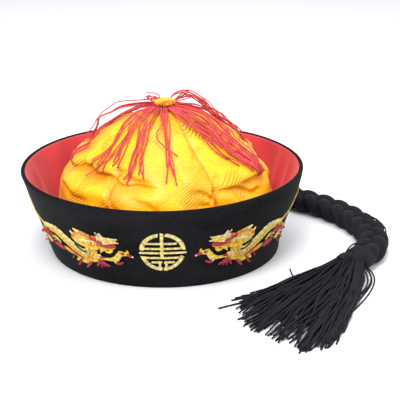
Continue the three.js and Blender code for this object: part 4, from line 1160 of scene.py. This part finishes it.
# %% Threads of the knob
# red thread: the dark red is painted shade in the ply hollows, the light red a painted highlight on the
# crests
red_thread = twisted_thread(
    "red thread", linear(158, 10, 18), linear(255, 80, 84), pitch=0.0022, depth=0.0006,
    roughness=0.5, sheen_weight=0.15, sheen_roughness=0.4,
)
seed = np.random.default_rng(21)
thread_paths = [bundle_paths(*bundle, seed) for bundle in BUNDLES] + [knot_paths(seed)]
thread_paths += [free_paths(*rows, seed) for rows in FREE_THREADS]
thread_paths = np.concatenate(thread_paths)
askew = np.array([0.1, 0.05, 1.0])  # no thread runs along this direction
threads = tubes(thread_paths, THREAD_RADIUS, THREAD_SIDES, askew)
dress("knob_threads", red_thread, threads, "red_thread", "crown_tassel")
print("%d threads" % len(thread_paths))

# %% [markdown]
# ## Embroidery
# The dragons and the roundel are worked in satin stitch: silk and gold thread laid side by side
# across each shape, over a padding that makes it swell. A shape is a stroke, a short table of
# places and widths. Broad strokes are split into lanes, and each lane has its own dye. Every
# stitch is a small tube that bows over the padding, so the light breaks as on real thread.

# %% One stroke of satin stitch
STITCH_STEP = 0.56
STITCH_RADIUS = 0.36
STITCH_STATIONS, STITCH_SIDES = 6, 5
STITCH_SLANT = 0.35
STITCH_BOW = 0.32  # how far the middle of a stitch stands over its ends
PADDING_SHARE, PADDING_MOST = 0.08, 0.35  # its height: a share of the stroke's width, up to a limit
FIRST_LIFT = 0.12  # of the first stroke over the velvet
LAYER_LIFT = 0.034  # each stroke lies this much over the one before
BAND_LEAN = 0.3  # how far the velvet's face looks down, next to one outwards
DYES = {  # of the threads, from 0 to 255
    "pale": (248, 228, 146), "gold": (242, 202, 76), "yellow": (255, 212, 46),
    "orange": (236, 150, 42), "red": (188, 30, 46), "black": (28, 26, 30), "white": (250, 244, 214),
}


def stroke_stitches(lanes, rows, layer, random):
    """Stitches along one stroke, as rows of places and heights, and their dyes. The lanes lie
    side by side from the stroke's right to its left. Each stitch leans by the slant and stands on
    padding that swells as sqrt(1 - x^2) across the whole stroke."""
    rows = np.asarray(rows, dtype=float)
    fine = through_rows(rows, np.linspace(0, 1, 400))
    pieces = np.linalg.norm(np.diff(fine[:, :2], axis=0), axis=1)
    length = np.concatenate([[0], np.cumsum(pieces)])
    count = max(int(length[-1] / STITCH_STEP), 3)
    at = np.linspace(0, length[-1], count)
    u, v, width = (np.interp(at, length, fine[:, k]) for k in range(3))
    ahead = unit(np.stack([np.gradient(u), np.gradient(v)], axis=-1))
    left = np.stack([-ahead[:, 1], ahead[:, 0]], axis=-1)
    across = unit(left + STITCH_SLANT * ahead)
    bow = np.sin(np.linspace(0, math.pi, STITCH_STATIONS))[None] * STITCH_BOW
    padding = np.minimum(width[:, None] * PADDING_SHARE, PADDING_MOST)
    stitches, dyes = [], []
    for number, dye in enumerate(lanes):
        edges = np.array([number, number + 1]) / len(lanes) * 2 - 1
        shift = random.uniform(0, STITCH_STEP, count)[:, None] * 0.4
        x = np.linspace(edges[0], edges[1], STITCH_STATIONS)[None]
        x = x + 0.05 * random.normal(0, 1, (count, 1))
        aside = across[:, None] * (x * width[:, None] / 2)[..., None]
        place = np.stack([u, v], axis=-1)[:, None] + aside + ahead[:, None] * shift[..., None]
        swell = np.sqrt(np.clip(1 - x**2, 0, 1)) * padding
        lift = FIRST_LIFT + LAYER_LIFT * layer + swell + bow
        stitches.append(np.concatenate([place, lift[..., None]], axis=-1))
        shade = np.array(DYES[dye]) * (0.74 + 0.32 * random.random((count, 1)))
        dyes.append(np.clip(shade, 0, 255))
    return np.concatenate(stitches), np.concatenate(dyes)


# %% A whole motif
def embroidery(name, strokes, side, slot, node, shift=(0, 0), height_at=lambda v: v):
    """All the stitches of a motif as one piece, laid on the velvet. side is 1 or -1 for the motif
    and its mirror, and height_at gives the height on the band for a height in the table."""
    random = np.random.default_rng(5)
    made = [stroke_stitches(*stroke, layer, random) for layer, stroke in enumerate(strokes)]
    paths, dyes = (np.concatenate(parts) for parts in zip(*made))
    angle = side * (paths[..., 0] + shift[0]) / BAND_RADIUS
    height = height_at(paths[..., 1]) + shift[1]
    outward = unit(np.stack([np.sin(angle), -np.cos(angle), 0 * angle - BAND_LEAN], axis=-1))
    points = place_at(angle, band_radius(angle, height), height) + outward * paths[..., 2:]
    taper = STITCH_RADIUS * np.sin(np.linspace(0.35, math.pi - 0.35, STITCH_STATIONS)) ** 0.5
    corners, faces, uv = tubes(points, taper[None], STITCH_SIDES, outward)
    colour = np.array([linear(*dye)[:3] for dye in dyes])
    per_point = np.repeat(colour, STITCH_STATIONS * STITCH_SIDES, axis=0)
    dress(name, silk.material, (corners, faces, uv, per_point), slot, node)
    print("%d strokes, %d stitches" % (len(strokes), len(points)))


silk = Finish("stitched silk", roughness=0.42, sheen_weight=0.15, sheen_roughness=0.3)
silk.give("Base Color", silk.node("Attribute", settings={"attribute_name": "dye"}))

# %% [markdown]
# ## The roundel
# The sign on the front is a ring cut into four arcs by gaps, with bars and posts inside. It is a
# good luck sign of Chinese dress. It is worked in one pale thread. Its shape could be cut from a
# mesh, but short strokes give each bar its own stitches and rounded swell.

# %% Roundel
ROUNDEL_HEIGHT = 35.2
ROUNDEL_RADIUS = 18.6  # of its outer edge
ROUNDEL_RING = 3.4
ROUNDEL_WIDTH = 0.94  # its width over its height
ROUNDEL_SHIFT = (0.8, 0)  # to the right of the middle of the front, and up
ROUNDEL_ARCS = [(8, 82), (102, 172), (195, 268), (273, 345)]  # degrees, from the right and up
ROUNDEL_BARS = [
    # one end, the other end, width
    (-12, 8.3, 10, 8.3, 2.1), (-16, 3.4, 15.6, 3.4, 2.1), (-17.6, -0.8, 17.6, -0.8, 2.1),
    (-15.6, -5.6, 15.6, -5.6, 2.1), (-8.4, -10, -0.8, -10, 2.1), (1.4, -10, 8.8, -10, 2.1),
    (-2.2, -9, -2.2, -17.4, 2.1), (2.9, -9, 2.9, -17.4, 2.1), (-0.4, -5, -0.4, 18.6, 2.6),
]
RIM_RADIUS = 118.8  # at the front
RIM_REACH = RIM_RADIUS - HEM_HALF_DEPTH  # how far the rim stands out over the hem
SLANT_STRETCH = math.hypot(BAND_TOP, RIM_REACH) / BAND_TOP  # of the leaning band to its height


def arc_rows(start, end, radius, width):
    """Rows of a stroke along an arc."""
    angle = np.radians(np.linspace(start, end, 9))
    across = ROUNDEL_WIDTH * radius * np.cos(angle)
    return np.stack([across, radius * np.sin(angle), np.full(9, width)], axis=-1)


def bar_rows(from_u, from_v, to_u, to_v, width):
    """Rows of a straight stroke."""
    t = np.linspace(0, 1, 4)[:, None]
    return (1 - t) * [from_u, from_v, width] + t * [to_u, to_v, width]


def roundel_height(v):
    """Height of a place that lies v above the roundel's middle, measured up the leaning band."""
    return ROUNDEL_HEIGHT + v / SLANT_STRETCH


ring_radius = ROUNDEL_RADIUS - ROUNDEL_RING / 2
roundel = [arc_rows(*arc, ring_radius, ROUNDEL_RING) for arc in ROUNDEL_ARCS]
roundel += [bar_rows(*bar) for bar in ROUNDEL_BARS]
embroidery(
    "roundel_stitches", [(["pale"], rows) for rows in roundel], 1, "gold_thread", "medallion",
    shift=ROUNDEL_SHIFT, height_at=roundel_height,
)

# %% [markdown]
# ## The dragons
# Each dragon is more than fifty strokes: the tail and the long body with its coil, the head, jaw,
# legs and claws, then small ones for the horns, the lip, the eye and the red parts. Later strokes
# lie over earlier ones, as they are sewn. The left dragon is the mirror of the right one.

# %% Dragons
DRAGON = [
    # dyes of the lanes, then rows of place round the band, height and width
    (["gold"], [(107, 37.2, 5), (114, 38.6, 3), (121, 40, 2.2), (128, 42, 1.8), (136, 46, 1.6),
                (142, 50.5, 1.6), (147, 56, 1.4)]),
    (["yellow", "gold"], [(104, 36.4, 3), (112, 35, 4), (120, 31.5, 3), (129, 27.5, 2)]),
    (["orange", "yellow"], [(69, 20, 4), (75, 21.8, 4), (81, 22.8, 4), (86, 23.8, 3.5), (89, 24.4, 2)]),
    (["pale"], [(92.4, 27, 2.2), (95.6, 29.8, 2.8), (99.6, 30.8, 2.6), (104.6, 29.2, 1.8)]),
    (["orange"], [(98.8, 28.2, 1.8), (103, 26.6, 1.6)]),
    (["pale"], [(108.4, 23.4, 2), (111.6, 25.8, 2.6), (117, 26.8, 2.6), (123, 25, 1.6)]),
    (["yellow"], [(112.6, 22, 1.6), (117, 23.4, 1.8), (122, 22.6, 1.2)]),
    (["yellow", "gold", "pale", "pale"],
     [(48.5, 26, 5), (53, 25.2, 9), (59, 24.4, 11), (66, 24.6, 10.5), (72, 27.2, 9.5), (78, 30.6, 9.5),
      (84, 34, 9.5), (90, 37.6, 9), (96, 39, 8), (101, 38.8, 7.5), (106, 38.2, 7), (111, 37.2, 5)]),
    (["gold", "yellow"], [(62, 34, 9), (57, 30.5, 10), (54, 27, 8)]),
    (["yellow"], [(62, 20, 3.4), (65.5, 17.6, 4), (69.5, 17.4, 3)]),
    (["yellow"], [(71.5, 20.5, 3), (74, 18.2, 3), (76, 16.6, 2)]),
    (["yellow", "pale"],
     [(49.5, 24.9, 2), (44, 24.9, 2.4), (40, 25.2, 3.4), (36.6, 26, 5.4), (34.4, 28.6, 5),
      (32.6, 31.6, 4.6), (31.6, 34.2, 3)]),
    (["yellow"], [(37.5, 25, 3.6), (37, 22.6, 2)]),
    (["yellow"], [(32.5, 31.4, 4.4), (28.6, 32.2, 4.2), (25.6, 33.4, 2), (26.2, 35.4, 0.9)]),
    (["pale"], [(60, 45.6, 2.6), (65, 46.2, 2.8), (69.4, 47.6, 1.6)]),
    (["pale"], [(63, 43.6, 3), (68, 43.2, 2.6), (72, 42.8, 2.2), (73.6, 44.6, 1.2)]),
    (["yellow"], [(39, 36.8, 2.8), (38.8, 33.9, 2.8), (41.4, 31.9, 2.6), (44, 33.2, 2.4), (43.6, 35.6, 2)]),
    (["yellow"], [(44.5, 36, 3.4), (46.8, 33, 3), (48.4, 30.8, 1.3)]),
    (["yellow", "orange"], [(35.4, 37.6, 2), (40, 36.2, 3.4), (46, 36.2, 4), (52, 35.4, 6), (58, 34, 7)]),
    (["orange", "gold", "pale", "gold", "yellow"],
     [(71, 36.6, 7), (68.5, 37.8, 12.5), (64, 39.2, 15.5), (58, 39.6, 15.5), (53, 40.6, 11.5),
      (48, 41.6, 8), (42, 42.6, 6), (37, 43, 4.4), (34, 43.4, 3)]),
    (["pale"], [(50, 44.6, 2.6), (45, 44.2, 3.2), (40, 44.4, 3), (36, 44.8, 2), (32.6, 45.4, 1)]),
    (["pale"], [(39, 42.6, 2), (35.5, 42.2, 1.8), (32, 42, 1)]),
    (["white"], [(44, 44, 2.8), (45.2, 46.2, 2.6), (46.6, 48.6, 1.6)]),
    (["pale"], [(47.2, 45.8, 2.2), (49.4, 48.8, 1.3)]),
    (["white"], [(44.6, 40.6, 2.6), (42, 40.5, 1.8), (39.6, 40.8, 1.2)]),
    (["red"], [(34.6, 39.6, 2.6), (37.6, 38.2, 4.8), (41, 37.6, 5), (45, 37.6, 3), (50.6, 38, 2)]),
    (["red"], [(44.6, 40.4, 3.2), (47.4, 40.7, 5.4), (50.8, 41.9, 5.2), (55, 43.2, 4.6)]),
    (["red"], [(49.2, 43.2, 1.8), (50.4, 45.6, 1.2)]),
    (["white"], [(48.4, 43, 2), (49.8, 41, 1.6)]),
    (["black"], [(47.4, 35.4, 0.9), (48.8, 34.8, 0.9)]),
    (["orange"], [(58, 46.6, 1.6), (62.4, 44, 1.4)]),
    (["orange"], [(56, 37.4, 2.2), (51.5, 37, 1.4)]),
    (["orange"], [(54, 30, 0.9), (59.5, 22.6, 0.9)]),
    (["orange"], [(58, 29, 0.9), (63, 21.8, 0.9)]),
    (["black"], [(61.5, 28.8, 1.2), (64.4, 28.2, 1.4), (67, 29, 1.2), (70, 31, 1.6), (72, 33, 1.4)]),
    (["red"], [(67.8, 21.2, 1), (71, 22.6, 1.6), (76.6, 25, 1.8), (80, 26, 1.2)]),
    (["red"], [(31, 32.6, 2.2), (28.4, 33.2, 2)]),
    (["red"], [(26.2, 32.2, 2.8), (23, 31, 2.6)]),
    (["white"], [(23.2, 31, 1.4), (22, 30.6, 1.2)]),
    (["red"], [(36, 22.4, 1.8), (33, 23, 2.4), (30.6, 24.4, 1.2)]),
    (["red"], [(45.6, 26.6, 1.6), (49.2, 26, 2.2)]),
    (["red"], [(50, 22.8, 2.6), (46, 20.6, 2.6), (42.6, 19.2, 1.4)]),
    (["red"], [(50, 23, 2.8), (47.6, 19.8, 2.2), (46.2, 17.8, 1.2)]),
    (["red"], [(50.4, 23, 2.8), (50, 19.8, 2.2), (49.6, 17.2, 1.2)]),
    (["red"], [(50.6, 23.4, 3), (52.4, 20, 2.2), (54, 17.4, 1.2)]),
    (["red"], [(59.6, 19.4, 2), (62, 16.8, 2.4), (65.6, 13.4, 1)]),
    (["red"], [(70, 18.6, 1.8), (72, 15.8, 2), (75, 13.2, 1)]),
    (["red"], [(77.6, 20.6, 1.4), (79.4, 18.4, 0.9)]),
    (["red"], [(86.8, 25.4, 3), (90.4, 25.2, 5), (94.6, 25.4, 4.4), (99.4, 26.2, 2)]),
    (["red"], [(92, 27, 2), (95, 28.2, 1.4)]),
    (["red"], [(97, 33.6, 2), (101, 34, 3.4), (106, 33.4, 4), (112, 32.2, 3.4), (118, 30.6, 2.6),
               (127, 26.6, 1.6)]),
    (["red"], [(104.6, 34.6, 3), (103.6, 38.6, 1.8)]),
    (["red"], [(110.4, 34, 2.6), (111.4, 37.6, 1.6)]),
    (["red"], [(113, 21.4, 2), (115.6, 19.2, 1.8)]),
    (["red"], [(119, 21.8, 1.6), (124, 20, 1.2)]),
]
SHIFTS = {"right": (4.2, 0.8), "left": (0, 0)}  # the right one is further round and higher
for side, name in ((1, "right"), (-1, "left")):
    embroidery(
        name + "_dragon_stitches", DRAGON, side, "orange_gold_thread", "dragon_" + name,
        shift=SHIFTS[name],
    )

# %% [markdown]
# ## Table and light
# The hat stands on a plain white table. A large soft light hangs in front to the left, a second one
# fills in from the right, a third hangs over the hat, and the white room does the rest, as in a
# light tent. A sky texture would be simpler, but its light is too hard and too blue.

# %% Floor and light
FLOOR_HALF = 2500
LIGHT_AIM = (0.03, 0.05)  # to the right, and up: the middle of the hat
floor_points = FLOOR_HALF * np.array([(-1, -1, 0), (1, -1, 0), (1, 1, 0), (-1, 1, 0)])
table_top = Finish("white table", roughness=0.55, specular_ior_level=0.2)
table_top.give("Base Color", linear(246, 247, 249))
floor = new_piece("floor", table_top.material, floor_points, np.array([[0, 1, 2, 3]]))
floor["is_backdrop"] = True


def soft_light(name, place, power, size):
    """A square area light that points at the middle of the hat."""
    data = bpy.data.lights.new(name, "AREA")
    data.energy = power
    data.size = size
    lamp = bpy.data.objects.new(name, data)
    lamp.location = place
    right, up = place[0] - LIGHT_AIM[0], place[2] - LIGHT_AIM[1]
    away = math.hypot(right, place[1])
    lamp.rotation_euler = (math.atan2(away, up), 0, math.atan2(right, -place[1]))
    bpy.context.scene.collection.objects.link(lamp)


soft_light("key", (-0.3, -0.75, 1.25), 17, 0.7)
soft_light("fill", (0.95, -0.5, 0.9), 5, 0.9)
soft_light("top", (0.1, 0.3, 1.5), 11, 1.0)
print("lights:", ", ".join(light.name for light in bpy.data.lights))
world = bpy.data.worlds.new("white room")
world.use_nodes = True
background = world.node_tree.nodes["Background"].inputs
background["Color"].default_value = linear(250, 251, 253)
background["Strength"].default_value = 0.7
bpy.context.scene.world = world
bpy.context.scene.view_settings.view_transform = "Standard"

# %% [markdown]
# ## Size of the model
# The plait is a free cord, sewn on at one end, and the crown and the lining are cloth. The box round every
# piece except the floor is printed, in millimetres.


model_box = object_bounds()
corners = [[round(value / MM, 1) for value in corner] for corner in model_box]
print("model from", corners[0], "to", corners[1])
